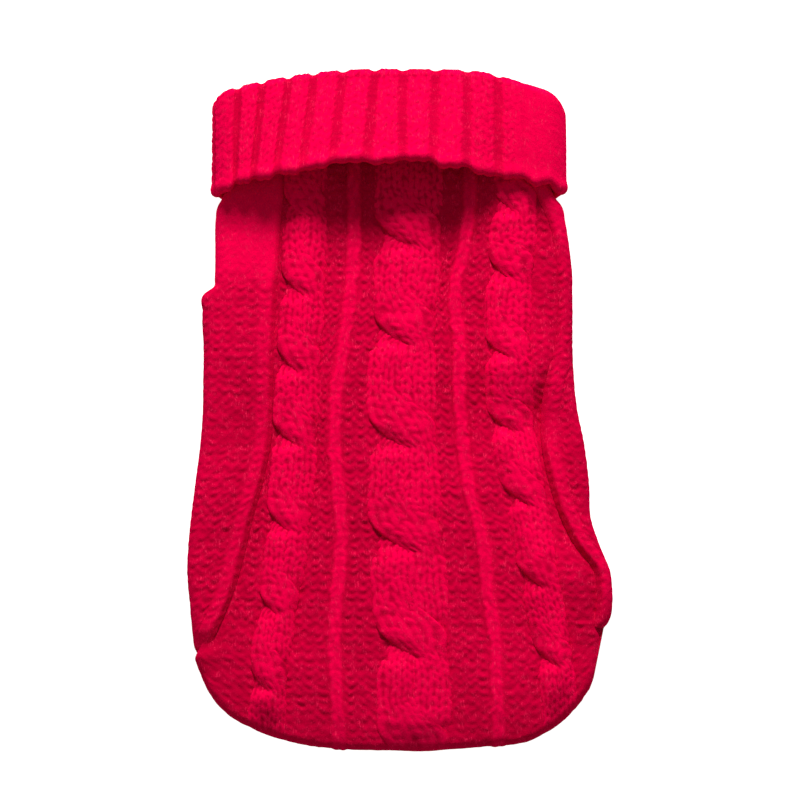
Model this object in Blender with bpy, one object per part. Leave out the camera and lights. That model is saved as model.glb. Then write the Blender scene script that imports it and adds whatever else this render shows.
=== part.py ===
"""A small dog's cable-knit turtleneck sweater, lying flat with its back up.

The neck points to +Y, the wearer's back faces +Z and the belly side rests on
z = 0. Every piece of knitted cloth is its own solid:

    back_panel       the top, with three cables and two ribs, and the tail's hem
    belly_panel      wraps round both sides and lies underneath
    collar           the ribbed tube of the neck, turned down over itself
    left_leg_band    the rib round a leg opening in the belly panel
    right_leg_band

Sizes are in millimetres and are turned into metres when a mesh is made.
"""

import math
from dataclasses import dataclass

import bmesh
import bpy
import numpy as np

MM = 0.001

# --- Driving sizes -----------------------------------------------------------

WALL = 3.0              # knitted cloth, plain side
SEAM_GAP = 0.3          # between two pieces that are sewn together
SEAM_BEVEL = 0.3        #the back panel's plain side is this much narrower at a seam
BODY_RADIUS = 4.2       # half the thickness of the flat body, round at its sides
NECK_Y = 104.0          # where the body is sewn to the collar
NECK_LIFT = 3.8         # the collar's lower flap lifts the neck end this far
LIFT_START_Y = 78.0
LIFT_END_Y = 86.5

CABLE_HEIGHT = 3.0
RIDGE_HEIGHT = 1.7
RIDGE_HALF = 3.3
SIDE_RIDGE_CENTRE = 4.2     # from the seam, along the cloth

HEM_RADIUS = 3.1        # the rolled edge of the tail
HEM_TURN = 9.0          # how far the turned hem reaches in
HEM_NARROWING = 24.0    # the turned hem narrows over this length towards the seams
TAIL_CENTRE = (-0.3, -88.0)
TAIL_REACH = (80.6, 49.9)
TAIL_POWER = 2.85       # a rounded outline between an ellipse and a box
TAIL_DROP = 18.0        # length over which the cloth sinks past the belly's hem
BELLY_HEM_Y = -93.8
BELLY_HEM_SLOPE = 0.058

COLLAR_CENTRE_X = -4.4
COLLAR_CENTRE_Z = 8.0
COLLAR_FLAT_HALF = 62.8     # the ring's straight half width, inside its round ends
FLAP_OUTER = 8.0
FLAP_INNER = 4.6
STAND_OUTER = 4.2
STAND_INNER = 1.0
FOLD_RADIUS = (FLAP_OUTER - STAND_INNER) / 2.0
FOLD_Y = 137.0
FOLD_SAG = 0.0021       # the fold line curves down towards both sides
FOLD_SAG_CENTRE = -2.0
FOLD_CORNER_DROP = 5.0
EDGE_Y = 97.2           # the flap's free edge over the back
EDGE_SAG = 0.0019
EDGE_SAG_CENTRE = -3.0
UNDER_EDGE_Y = 88.4     # the flap's free edge under the belly
FLAP_LIFT_EDGE = 12.5   # the flap stands off the back in the middle
FOLD_LIFT = 4.5
NECK_MOUTH_LIFT = 0.3
RIB_GUTTER = -0.6
RIB_CROWN = 1.0
EDGE_SCALLOP = 1.1
EDGE_ROUNDING = 1.2

LEG_BAND_WIDTH = 6.5
LEG_OPENING_HALF = (15.0, 19.0)
LEG_BAND_CENTRES = {"left_leg_band": (-47.0, 50.0), "right_leg_band": (42.0, 50.0)}

BACK_ROWS = 54
ROW_STEP = 2            # the belly panel and the plain inside have every second row
INSIDE_COLUMNS = 11

BODY_COLOUR = (0.76, 0.004, 0.055, 1.0)
RIB_COLOUR = (0.80, 0.005, 0.065, 1.0)


class Rows:
    """A table of sections along the garment, read smoothly between its rows."""

    def __init__(self, columns, rows):
        data = np.array(sorted(rows), dtype=float)
        self.y = data[:, 0]
        self.values = {name: data[:, i] for i, name in enumerate(columns)}
        self.slopes = {name: np.gradient(column, self.y) for name, column in self.values.items()}

    def at(self, name, y):
        """The value of a column at y, which may be an array."""
        y = np.clip(y, self.y[0], self.y[-1])
        i = np.clip(np.searchsorted(self.y, y) - 1, 0, len(self.y) - 2)
        span = self.y[i + 1] - self.y[i]
        s = (y - self.y[i]) / span
        value, slope = self.values[name], self.slopes[name]
        return ((1 + 2 * s) * (1 - s) ** 2 * value[i] + s * (1 - s) ** 2 * span * slope[i]
                + s * s * (3 - 2 * s) * value[i + 1] + s * s * (s - 1) * span * slope[i + 1])


# The flat body's outline and the seams between back and belly panel, seen from above.
BODY = Rows(
    ("y", "left_side", "right_side", "left_seam", "right_seam"),
    (
        (104.0, -71.4, 62.6, -46.8, 49.0),
        (86.5, -71.4, 62.6, -47.4, 55.4),
        (83.0, -73.5, 65.4, -47.6, 57.2),
        (77.0, -74.4, 66.8, -48.2, 60.0),
        (65.0, -74.5, 68.6, -49.0, 62.8),
        (54.0, -74.7, 69.6, -49.6, 63.8),
        (50.3, -75.1, 69.6, -49.8, 64.0),
        (47.3, -78.9, 69.6, -49.9, 64.0),
        (40.0, -79.5, 69.6, -50.2, 63.8),
        (24.4, -79.0, 69.6, -50.9, 62.2),
        (10.0, -79.1, 70.3, -51.2, 59.0),
        (0.0, -79.2, 71.4, -51.4, 57.2),
        (-12.0, -80.0, 73.8, -51.9, 57.2),
        (-29.8, -82.1, 76.0, -55.2, 60.2),
        (-44.7, -83.9, 76.8, -59.2, 65.0),
        (-54.8, -84.8, 80.0, -61.6, 69.2),
        (-66.5, -85.2, 84.5, -64.4, 75.0),
        (-73.5, -84.7, 85.2, -66.4, 77.6),
        (-79.5, -84.0, 85.2, -68.6, 78.3),
        (-85.3, -83.2, 84.4, -71.0, 77.9),
        (-91.0, -82.2, 82.4, -73.6, 77.1),
        (-96.6, -81.2, 81.0, -75.8, 76.8),
        (-102.0, -79.8, 79.6, -76.9, 76.8),
    ),
)

# Where each cable and rib of the back panel runs, and each cable's half width.
PATTERN = Rows(
    ("y", "left_cable", "left_rib", "centre_cable", "right_rib", "right_cable",
     "left_cable_half", "centre_cable_half", "right_cable_half"),
    (
        (104.0, -37.8, -18.4, 3.8, 28.6, 46.0, 7.8, 13.0, 7.6),
        (85.0, -38.0, -18.4, 3.6, 28.4, 46.4, 8.4, 13.2, 8.8),
        (65.0, -38.2, -18.4, 3.4, 26.0, 45.4, 8.6, 13.4, 9.2),
        (45.0, -39.0, -20.0, 2.6, 22.0, 43.8, 8.6, 12.6, 9.0),
        (24.0, -40.2, -22.8, 1.2, 24.2, 43.6, 8.6, 13.2, 9.0),
        (4.0, -41.2, -25.6, 0.6, 24.0, 44.2, 8.8, 13.4, 9.0),
        (-16.0, -42.2, -26.2, 1.6, 25.6, 46.2, 8.8, 13.6, 8.8),
        (-36.0, -43.6, -24.4, 1.9, 28.4, 50.4, 8.8, 14.2, 8.2),
        (-57.0, -45.6, -23.4, 3.2, 33.8, 54.0, 8.6, 14.8, 7.9),
        (-77.0, -48.2, -25.1, 4.1, 35.8, 57.2, 8.0, 14.8, 7.7),
        (-97.0, -51.2, -26.2, 5.4, 38.4, 61.2, 7.6, 14.0, 7.4),
        (-118.0, -52.8, -25.0, 5.8, 39.2, 63.6, 7.2, 14.4, 6.9),
        (-138.0, -53.6, -24.4, 5.6, 39.6, 65.2, 7.0, 14.6, 6.4),
    ),
)

# The gutters between the collar's ribs, from the wearer's left: x at the fold and at the edge.
RIB_GUTTERS = (
    # at_fold, at_edge
    (-65.2, -66.6),
    (-55.6, -59.0),
    (-44.8, -49.6),
    (-34.8, -39.2),
    (-22.8, -27.2),
    (-10.0, -13.2),
    (1.2, 1.2),
    (14.4, 13.2),
    (27.2, 27.2),
    (39.6, 40.0),
    (50.8, 51.2),
)
# The gutters on the ring's round ends, as angles from +X.
RIGHT_END_GUTTERS = (62.0, -12.0)
LEFT_END_GUTTERS = (165.0, 235.0)


@dataclass(frozen=True)
class Cable:
    """A two-strand rope cable; its left strand passes over the right one at each crossing."""

    name: str
    columns: int
    crossings: tuple


CABLES = (
    Cable("left_cable", 7, (80.4, 48.5, 17.0, -12.8, -47.6, -81.6, -112.0)),
    Cable("centre_cable", 9, (110.0, 69.0, 29.0, -13.0, -55.2, -98.2, -140.0)),
    Cable("right_cable", 7, (82.6, 55.4, 22.6, -7.4, -37.5, -70.6, -102.6)),
)


# --- Shapes worked out from the sizes ----------------------------------------


def ease(t):
    """0 to 1 with level ends."""
    t = np.clip(t, 0.0, 1.0)
    return t * t * (3.0 - 2.0 * t)


def body_middle(y):
    """Height of the middle of the flat body, lifted at the neck by the collar's flap."""
    return BODY_RADIUS + NECK_LIFT * ease((y - LIFT_START_Y) / (LIFT_END_Y - LIFT_START_Y))


def belly_hem_y(x):
    """The belly panel's lower edge, a little lower on the left."""
    return BELLY_HEM_Y + BELLY_HEM_SLOPE * x


def strand(s, centre, half, height):
    """A strand's rounded back at s across the cable."""
    return height * np.sqrt(np.clip(1.0 - (np.abs(s - centre) / half) ** 2.6, 0.0, 1.0))


def cable_relief(cable, x, y):
    """Height of a cable above the plain cloth."""
    centre = PATTERN.at(cable.name, y)
    half = PATTERN.at(cable.name + "_half", y)
    crossings = np.array(cable.crossings)
    nearest = np.argmin(np.abs(crossings[:, None] - np.ravel(y)[None, :]), axis=0)
    nearest = nearest.reshape(np.shape(y))
    period = abs(np.mean(np.diff(crossings)))
    along = (crossings[nearest] - y) / period
    pinch = np.exp(-(along / 0.16) ** 2)
    s = (x - centre) / (half * (1.0 - 0.08 * pinch))
    travel = ease((along + 0.33) / 0.5)
    front_centre = -0.48 + 0.96 * travel
    front = strand(s, front_centre, 0.56, 0.86 + 0.20 * pinch)
    back = strand(s, -front_centre, 0.56, 0.86 - 0.42 * pinch)
    return CABLE_HEIGHT * np.maximum(front, back)


def ridge_relief(distance):
    """Height of a knitted rib above the purl cloth, by the distance from its middle."""
    return RIDGE_HEIGHT * np.sqrt(np.clip(1.0 - (distance / RIDGE_HALF) ** 2, 0.0, 1.0))


def tail_limit_y(x, inset):
    """The tail's rounded outline, moved in by inset: its y at x."""
    across = np.abs((x - TAIL_CENTRE[0]) / (TAIL_REACH[0] - inset))
    across = np.clip(across, 0.0, 0.9999)
    return TAIL_CENTRE[1] - (TAIL_REACH[1] - inset) * (1.0 - across ** TAIL_POWER) ** (1.0 / TAIL_POWER)


def tail_normal(x, y):
    """The outward direction of the tail's outline, in plan."""
    dx, dy = x - TAIL_CENTRE[0], y - TAIL_CENTRE[1]
    gx = np.sign(dx) * np.abs(dx / TAIL_REACH[0]) ** (TAIL_POWER - 1) / TAIL_REACH[0]
    gy = np.sign(dy) * np.abs(dy / TAIL_REACH[1]) ** (TAIL_POWER - 1) / TAIL_REACH[1]
    length = np.hypot(gx, gy)
    return gx / length, gy / length


def back_ground(x, y):
    """The back panel's plain outer surface: level on the body, sinking over the tail."""
    below = belly_hem_y(x) - y
    body_top = body_middle(y) + BODY_RADIUS
    return body_top - (2 * (BODY_RADIUS - HEM_RADIUS)) * ease((below + 4.0) / TAIL_DROP)


def back_relief(x, y):
    """Cables and ribs above the back panel's ground."""
    relief = np.zeros_like(x)
    for cable in CABLES:
        relief = np.maximum(relief, cable_relief(cable, x, y))
    for rib in ("left_rib", "right_rib"):
        relief = np.maximum(relief, ridge_relief(x - PATTERN.at(rib, y)))
    return relief


def back_edges(y):
    """The back panel's left and right edges at y, a gap away from the belly panel."""
    return (BODY.at("left_seam", y) + SEAM_GAP / 2, BODY.at("right_seam", y) - SEAM_GAP / 2)


# --- Meshes ------------------------------------------------------------------


class Shell:
    """Collects grids of points and the faces that join them."""

    def __init__(self):
        self.points = []
        self.faces = []

    def add_grid(self, grid):
        """Add rows of points with quads between them; return their indices."""
        rows, columns = grid.shape[:2]
        first = len(self.points)
        self.points.extend(grid.reshape(-1, 3).tolist())
        index = first + np.arange(rows * columns).reshape(rows, columns)
        for r in range(rows - 1):
            for c in range(columns - 1):
                self.faces.append((index[r, c], index[r, c + 1], index[r + 1, c + 1], index[r + 1, c]))
        return index

    def close_columns(self, index):
        """Join a grid's last column to its first."""
        for r in range(len(index) - 1):
            self.faces.append((index[r, -1], index[r, 0], index[r + 1, 0], index[r + 1, -1]))

    def join_rows(self, one, other, closed=False):
        """Join two rows of the same length with quads."""
        count = len(one)
        for c in range(count if closed else count - 1):
            following = (c + 1) % count
            self.faces.append((one[c], one[following], other[following], other[c]))

    def zip_edges(self, one, other, axis):
        """Join two edges that run side by side along an axis, with different numbers of points."""
        start = self.points[one[0]][axis]
        along_one = [abs(self.points[point][axis] - start) for point in one]
        along_other = [abs(self.points[point][axis] - start) for point in other]
        i = j = 0
        while i < len(one) - 1 or j < len(other) - 1:
            next_one = along_one[i + 1] if i < len(one) - 1 else math.inf
            next_other = along_other[j + 1] if j < len(other) - 1 else math.inf
            if next_one <= next_other:
                self.faces.append((one[i], one[i + 1], other[j]))
                i += 1
            else:
                self.faces.append((one[i], other[j + 1], other[j]))
                j += 1

    def build(self, name, material):
        """Make the object, with its faces pointing out."""
        mesh = bpy.data.meshes.new(name)
        points = [tuple(coordinate * MM for coordinate in point) for point in self.points]
        mesh.from_pydata(points, [], [tuple(int(i) for i in face) for face in self.faces])
        work = bmesh.new()
        work.from_mesh(mesh)
        bmesh.ops.recalc_face_normals(work, faces=work.faces)
        work.to_mesh(mesh)
        work.free()
        mesh.shade_smooth()
        mesh.materials.append(material)
        made = bpy.data.objects.new(name, mesh)
        bpy.context.scene.collection.objects.link(made)
        return made


def sides(index):
    """The four edges of a grid, each running on from the one before, with its X or Y axis."""
    return (index[0, :], 0), (index[:, -1], 1), (index[-1, ::-1], 0), (index[::-1, 0], 1)


def border(index):
    """The outer border of a grid as one loop."""
    return ([int(i) for i in index[0, :]] + [int(i) for i in index[1:, -1]]
            + [int(i) for i in index[-1, -2::-1]] + [int(i) for i in index[-2:0:-1, 0]])


def knit_material(name, colour):
    """Plain coloured wool."""
    material = bpy.data.materials.new(name)
    material.use_nodes = True
    shader = material.node_tree.nodes["Principled BSDF"]
    shader.inputs["Base Color"].default_value = colour
    shader.inputs["Roughness"].default_value = 0.9
    shader.inputs["Metallic"].default_value = 0.0
    return material


# --- Back panel --------------------------------------------------------------


def back_columns(y):
    """The x of every column of the back panel, one row of them for each y."""
    left, right = back_edges(y)
    columns = [left]
    cable_start = PATTERN.at("left_cable", y) - PATTERN.at("left_cable_half", y)
    cable_start = np.maximum(cable_start, left + 1.2)
    columns += [left + (cable_start - left) * part for part in (0.35, 0.7)]
    columns += cable_columns(CABLES[0], y, cable_start, None)
    columns += rib_columns("left_rib", y)
    columns += cable_columns(CABLES[1], y, None, None)
    columns += rib_columns("right_rib", y)
    cable_end = PATTERN.at("right_cable", y) + PATTERN.at("right_cable_half", y)
    cable_end = np.minimum(cable_end, right - 1.2)
    columns += cable_columns(CABLES[2], y, None, cable_end)
    columns += [right - (right - cable_end) * part for part in (0.7, 0.35)]
    columns.append(right)
    return np.array(columns).T


def cable_columns(cable, y, start, end):
    """Columns across a cable, closer together at its steep sides."""
    centre = PATTERN.at(cable.name, y)
    half = PATTERN.at(cable.name + "_half", y)
    start = centre - half if start is None else start
    end = centre + half if end is None else end
    angles = np.linspace(0.0, math.pi, cable.columns)
    parts = 0.5 - 0.5 * (0.55 * np.cos(angles) + 0.45 * (1.0 - 2.0 * angles / math.pi))
    return [start + (end - start) * part for part in parts]


def rib_columns(rib, y):
    """A rib's feet and crown."""
    centre = PATTERN.at(rib, y)
    return [centre + RIDGE_HALF * part for part in (-1.0, -0.6, 0.0, 0.6, 1.0)]


def back_grid(parts, inset):
    """Plan positions of the back panel's columns at parts of the way from neck to hem.

    inset is how far inside the tail's outline a column ends, one value or one a column.
    """
    top = NECK_Y - SEAM_GAP
    trial = np.linspace(top, TAIL_CENTRE[1] - TAIL_REACH[1], 240)
    columns = back_columns(trial)
    limit = tail_limit_y(columns, inset)
    grid = np.zeros((len(parts), columns.shape[1], 2))
    for c in range(columns.shape[1]):
        past = np.nonzero(trial < limit[:, c])[0]
        last = past[0] if len(past) else len(trial) - 1
        spread = (limit[last, c] - trial[last]) / (limit[last, c] - trial[last]
                                                   - limit[last - 1, c] + trial[last - 1])
        end = trial[last] + (trial[last - 1] - trial[last]) * np.clip(spread, 0.0, 1.0)
        y = top + (end - top) * parts
        grid[:, c, 0] = np.interp(-y, -trial, columns[:, c])
        grid[:, c, 1] = y
    return grid


def make_back_panel(material):
    """The top panel: raised outside, plain inside, with a rolled hem round the tail."""
    shell = Shell()
    parts = np.linspace(0.0, 1.0, BACK_ROWS)
    plan = back_grid(parts, HEM_RADIUS)
    x, y = plan[..., 0], plan[..., 1]
    side_fade = np.minimum(x - x[:, :1], x[:, -1:] - x)
    relief = back_relief(x, y) * ease(side_fade / 1.0)
    main = np.dstack([x, y, back_ground(x, y) + relief])

    rolled = []
    end_x, end_y = x[-1], y[-1]
    normal_x, normal_y = tail_normal(end_x, end_y)
    for degrees in (60.0, 28.0, -5.0, -40.0, -90.0):
        angle = math.radians(degrees)
        out = HEM_RADIUS * math.cos(angle)
        swell = relief[-1] * max(0.0, math.sin(angle)) * 0.9
        z = HEM_RADIUS + (HEM_RADIUS + swell) * math.sin(angle)
        rolled.append(np.stack([end_x + normal_x * out, end_y + normal_y * out, z], axis=1))
    outer = shell.add_grid(np.concatenate([main, np.array(rolled)]))

    picks = np.linspace(0, x.shape[1] - 1, INSIDE_COLUMNS).round().astype(int)
    turn = HEM_TURN * (0.15 + 0.85 * ease(side_fade[-1] / HEM_NARROWING))
    inner_plan = back_grid(parts[::ROW_STEP], HEM_RADIUS + turn)
    inner_x, inner_y = inner_plan[:, picks, 0], inner_plan[:, picks, 1]
    inner_x[:, 0] += SEAM_BEVEL
    inner_x[:, -1] -= SEAM_BEVEL
    inner = np.dstack([inner_x, inner_y, back_ground(inner_x, inner_y) - WALL])
    turned = back_grid(np.array([1.0]), HEM_RADIUS + 0.55 * turn)[:, picks]
    past_belly = ease((belly_hem_y(turned[..., 0]) - 1.5 - turned[..., 1]) / 4.0)
    height = (back_ground(turned[..., 0], turned[..., 1]) - WALL) * (1.0 - past_belly)
    lying = np.dstack([turned[..., 0], turned[..., 1], height])
    plain = shell.add_grid(np.concatenate([inner, lying]))
    for (outer_side, axis), (plain_side, _) in zip(sides(outer), sides(plain)):
        shell.zip_edges(outer_side, plain_side, axis)
    return shell.build("back_panel", material)


# --- Belly panel -------------------------------------------------------------


def side_path(y, s, side, radius):
    """A point s along the cloth from a seam, over the body's round side to its underside.

    Returns x, z and the outward normal; radius is the distance from the body's middle line.
    """
    sign = -1.0 if side == "left" else 1.0
    seam = BODY.at(side + "_seam", y) + sign * SEAM_GAP / 2
    turn = BODY.at(side + "_side", y) - sign * BODY_RADIUS
    flat = np.maximum(np.abs(turn - seam), 0.4)
    angle = np.clip((s - flat) / BODY_RADIUS, 0.0, math.pi)
    over = np.minimum(s, flat)
    normal_x, normal_z = sign * np.sin(angle), np.cos(angle)
    x = np.where(s < flat, seam + sign * over, turn) + normal_x * radius
    return x, body_middle(y) + normal_z * radius, normal_x, normal_z


def belly_rows():
    """The y of each belly row at the left and at the right seam.

    They are rows of the back panel, so that both edges of a seam bend at the same places.
    """
    top = NECK_Y - SEAM_GAP
    back_end = back_grid(np.array([1.0]), HEM_RADIUS)[0, [0, -1], 1]
    parts = np.arange(0, BACK_ROWS - 3, ROW_STEP) / (BACK_ROWS - 1)
    bends = (top - np.array([LIFT_START_Y, (LIFT_START_Y + LIFT_END_Y) / 2, LIFT_END_Y])) / (top - back_end[0])
    parts = np.sort(np.concatenate([parts, bends]))
    left = top + (back_end[0] - top) * parts
    right = top + (back_end[1] - top) * parts
    left_hem = belly_hem_y(BODY.at("left_side", BELLY_HEM_Y))
    right_hem = belly_hem_y(BODY.at("right_side", BELLY_HEM_Y))
    return np.append(left, left_hem), np.append(right, right_hem)


def side_sections(y, side):
    """Outer and inner columns from a seam, over the round side, to the underside."""
    turn = BODY.at(side + "_side", y) + (BODY_RADIUS if side == "left" else -BODY_RADIUS)
    flat = np.maximum(np.abs(turn - BODY.at(side + "_seam", y)), 0.4)
    end = flat + math.pi * BODY_RADIUS
    ridge_end = SIDE_RIDGE_CENTRE + RIDGE_HALF
    round_start = np.maximum(flat, ridge_end + 0.8)
    stations = [np.full_like(end, s) for s in (0.0, 0.9, 2.3, SIDE_RIDGE_CENTRE, 6.1, ridge_end)]
    stations += [round_start + (end - round_start) * part for part in (0.0, 0.2, 0.4, 0.6, 0.8, 1.0)]
    under_collar = 1.0 - 0.8 * ease((y - LIFT_START_Y) / (LIFT_END_Y - LIFT_START_Y))
    outer, inner = [], []
    for s in stations:
        x, z, normal_x, normal_z = side_path(y, s, side, BODY_RADIUS)
        bulge = ridge_relief(s - SIDE_RIDGE_CENTRE) * under_collar
        outer.append(np.stack([x + normal_x * bulge, y, z + normal_z * bulge], axis=1))
        x, z, _, _ = side_path(y, s, side, BODY_RADIUS - WALL)
        inner.append(np.stack([x, y, z], axis=1))
    return outer, inner


def make_belly_panel(material, cutters):
    """The cloth from seam to seam, round both sides and underneath."""
    left_y, right_y = belly_rows()
    outer, inner = side_sections(left_y, "left")
    left_x = BODY.at("left_side", left_y) + BODY_RADIUS
    right_x = BODY.at("right_side", right_y) - BODY_RADIUS
    for part in (0.2, 0.4, 0.6, 0.8):
        x = left_x + (right_x - left_x) * part
        y = left_y + (right_y - left_y) * part
        floor = body_middle(y) - BODY_RADIUS
        outer.append(np.stack([x, y, floor], axis=1))
        inner.append(np.stack([x, y, floor + WALL], axis=1))
    right_outer, right_inner = side_sections(right_y, "right")
    outer = np.array(outer + right_outer[::-1]).transpose(1, 0, 2)
    inner = np.array(inner + right_inner[::-1]).transpose(1, 0, 2)
    shell = Shell()
    outside = shell.add_grid(outer)
    inside = shell.add_grid(inner)
    shell.join_rows(border(outside), border(inside), closed=True)
    panel = shell.build("belly_panel", material)
    for cutter in cutters:
        cut = panel.modifiers.new("Leg opening", "BOOLEAN")
        cut.operation = "DIFFERENCE"
        cut.object = cutter
    return panel


# --- Leg bands ---------------------------------------------------------------


def oval_ring(centre, half, grow, z, count=28):
    """Points round an oval, grown by the same width everywhere."""
    angles = np.arange(count) * 2 * math.pi / count
    x = (half[0] + grow) * np.cos(angles) + centre[0]
    y = (half[1] + grow) * np.sin(angles) + centre[1]
    return np.stack([x, y, np.full(count, z)], axis=1)


def make_leg_cutter(name, centre):
    """The tool that cuts a leg opening through the belly panel's underside."""
    rings = [oval_ring(centre, LEG_OPENING_HALF, LEG_BAND_WIDTH + SEAM_GAP, z) for z in (-2.0, WALL + 0.6)]
    shell = Shell()
    index = shell.add_grid(np.array(rings))
    shell.close_columns(index)
    shell.faces += [tuple(index[0]), tuple(index[1])]
    cutter = shell.build(name, knit_material(name + "_guide", RIB_COLOUR))
    cutter.hide_render = True
    cutter.display_type = "WIRE"
    return cutter


def make_leg_band(name, centre, material):
    """A flat rib band with rounded edges, lying inside the leg opening's cut edge."""
    section = (
        # grow, z
        (0.5, 0.0), (LEG_BAND_WIDTH, 0.0), (LEG_BAND_WIDTH, WALL),
        (1.2, WALL), (0.25, WALL - 0.7), (0.0, WALL / 2), (0.1, 0.6),
    )
    rings = [oval_ring(centre, LEG_OPENING_HALF, grow, z) for grow, z in section]
    shell = Shell()
    index = shell.add_grid(np.array(rings))
    shell.close_columns(index)
    shell.join_rows(index[-1], index[0], closed=True)
    return shell.build(name, material)


# --- Collar ------------------------------------------------------------------


@dataclass(frozen=True)
class Station:
    """One line along the collar's ring: where it starts from and which way it faces."""

    fold_x: float
    edge_x: float
    angle: float        # outward direction in the XZ plane, degrees from +X
    relief: float       # height over the plain cloth, along that direction
    rib: float          # 0 in a gutter, 1 on a rib's crown


def rib_profile(part):
    """Relief and crown share at a part of the way across a rib."""
    crown = math.sin(math.pi * part) ** 0.6
    return RIB_GUTTER + (RIB_CROWN - RIB_GUTTER) * crown, crown


def collar_stations():
    """The ring's lines: over the back, round the right end, underneath, round the left end."""
    stations = []
    across = (0.0, 0.2, 0.5, 0.8)
    for one, other in zip(RIB_GUTTERS, RIB_GUTTERS[1:]):
        for part in across:
            relief, crown = rib_profile(part)
            fold_x = one[0] + (other[0] - one[0]) * part - COLLAR_CENTRE_X
            edge_x = one[1] + (other[1] - one[1]) * part - COLLAR_CENTRE_X
            stations.append(Station(fold_x, edge_x, 90.0, relief, crown))

    end = COLLAR_FLAT_HALF
    last = RIB_GUTTERS[-1]
    flat_left = end - (last[0] - COLLAR_CENTRE_X)
    turned = math.radians(90.0 - RIGHT_END_GUTTERS[0]) * FLAP_OUTER
    for part in across:
        relief, crown = rib_profile(part)
        along = part * (flat_left + turned)
        fold_x = min(last[0] - COLLAR_CENTRE_X + along, end)
        edge_x = min(last[1] - COLLAR_CENTRE_X + along, end)
        angle = 90.0 - math.degrees(max(0.0, along - flat_left) / FLAP_OUTER)
        stations.append(Station(fold_x, edge_x, angle, relief, crown))
    add_round_end(stations, end, RIGHT_END_GUTTERS + (-90.0,))
    for part in (0.0, 0.2, 0.4, 0.6, 0.8):
        stations.append(Station(end - 2 * end * part, end - 2 * end * part, -90.0, 0.0, 0.0))
    stations.append(Station(-end, -end, -90.0, 0.0, 0.0))
    add_round_end(stations, -end, (-90.0 + 360.0,) + LEFT_END_GUTTERS[::-1] + (90.0,))
    return stations


def add_round_end(stations, base, gutters):
    """Ribs round one end of the ring; underneath they flatten where the collar rests."""
    for start, stop in zip(gutters, gutters[1:]):
        resting = abs(math.sin(math.radians(start)) + 1.0) < 0.01 or stop == -90.0
        for part in (0.0, 0.25, 0.5, 0.75):
            if resting and part == 0.0 and start > 180.0:
                continue
            angle = start + (stop - start) * part
            relief, crown = rib_profile(part)
            low = max(0.0, math.sin(math.radians(angle)) * 1.6 + 1.0)
            flat = min(1.0, low)
            stations.append(Station(base, base, angle, relief * flat, crown * flat))


def collar_point(station, along, reach, lift):
    """The x and z of a point of the collar's cloth.

    along runs from the free edge or neck seam, 0, to the fold, 1. reach is the distance
    from the ring's middle line, and lift raises the middle of the back.
    """
    angle = math.radians(station.angle)
    normal_x, normal_z = math.cos(angle), math.sin(angle)
    base = station.edge_x + (station.fold_x - station.edge_x) * along
    x = COLLAR_CENTRE_X + base + normal_x * reach
    share = (base + normal_x * FLAP_OUTER) / (COLLAR_FLAT_HALF + FLAP_OUTER)
    arch = max(0.0, 1.0 - share * share) ** 1.2 * max(0.0, normal_z)
    return x, COLLAR_CENTRE_Z + normal_z * reach + lift * arch


def fold_y(x, station):
    """Where the outside of the fold lies at x."""
    corner = math.cos(math.radians(station.angle)) ** 2 * FOLD_CORNER_DROP
    return FOLD_Y - FOLD_SAG * (x - FOLD_SAG_CENTRE) ** 2 - corner


def edge_y(x, station):
    """Where the flap's free edge lies at x, over the back or underneath."""
    over = EDGE_Y - EDGE_SAG * (x - EDGE_SAG_CENTRE) ** 2
    top_share = ease((math.sin(math.radians(station.angle)) + 1.0) / 1.0)
    return UNDER_EDGE_Y + (over - UNDER_EDGE_Y) * float(top_share)


def collar_profile(station):
    """The cloth's closed section along one station, from the free edge round and back."""
    points = []

    def flap(along, reach, out=0.0):
        lift = FOLD_LIFT + (FLAP_LIFT_EDGE - FOLD_LIFT) * (1.0 - along) ** 1.1
        x, z = collar_point(station, along, reach, lift)
        low = edge_y(x, station) - EDGE_SCALLOP * station.rib
        high = fold_y(x, station) - FOLD_RADIUS
        points.append((x, low + (high - low) * along - out, z))

    def stand(along, reach):
        lift = NECK_MOUTH_LIFT + (FOLD_LIFT - NECK_MOUTH_LIFT) * along ** 1.3
        x, z = collar_point(station, along, reach, lift)
        high = fold_y(x, station) - FOLD_RADIUS
        points.append((x, NECK_Y + (high - NECK_Y) * along, z))

    for along in (0.0, 0.09, 0.32, 0.56, 0.8, 1.0):
        worn = EDGE_ROUNDING * station.rib if along == 0.0 else 0.0
        flap(along, FLAP_OUTER + station.relief - worn)
    middle = (FLAP_OUTER + STAND_INNER) / 2
    for degrees in (30.0, 60.0, 90.0, 120.0, 150.0):
        turn = math.radians(degrees)
        bend = FOLD_RADIUS + station.relief * math.cos(turn / 2) ** 0.5
        x, z = collar_point(station, 1.0, middle + bend * math.cos(turn), FOLD_LIFT)
        y = fold_y(x, station) - FOLD_RADIUS + bend * math.sin(turn)
        points.append((x, y, z))
    for along in (1.0, 0.66, 0.33, 0.0):
        stand(along, STAND_INNER)
    for along in (0.0, 0.33, 0.66, 1.0):
        stand(along, STAND_OUTER)
    for along in (1.0, 0.75, 0.5, 0.25, 0.0):
        flap(along, FLAP_INNER)
    flap(0.0, (FLAP_INNER + FLAP_OUTER) / 2, out=0.9)
    return points


def make_collar(material):
    """The turned-down turtleneck: a U of cloth swept round a flattened ring."""
    profiles = np.array([collar_profile(station) for station in collar_stations()])
    shell = Shell()
    index = shell.add_grid(profiles)
    shell.close_columns(index)
    shell.join_rows(index[-1], index[0], closed=True)
    return shell.build("collar", material)


# --- The garment -------------------------------------------------------------


def shift_to_ground(objects):
    """The move that centres the whole garment's box on the origin, with z = 0 below it."""
    corners = np.array([vertex.co for made in objects for vertex in made.data.vertices])
    low, high = corners.min(axis=0), corners.max(axis=0)
    return np.array([-(low[0] + high[0]) / 2, -(low[1] + high[1]) / 2, -low[2]])


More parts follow.
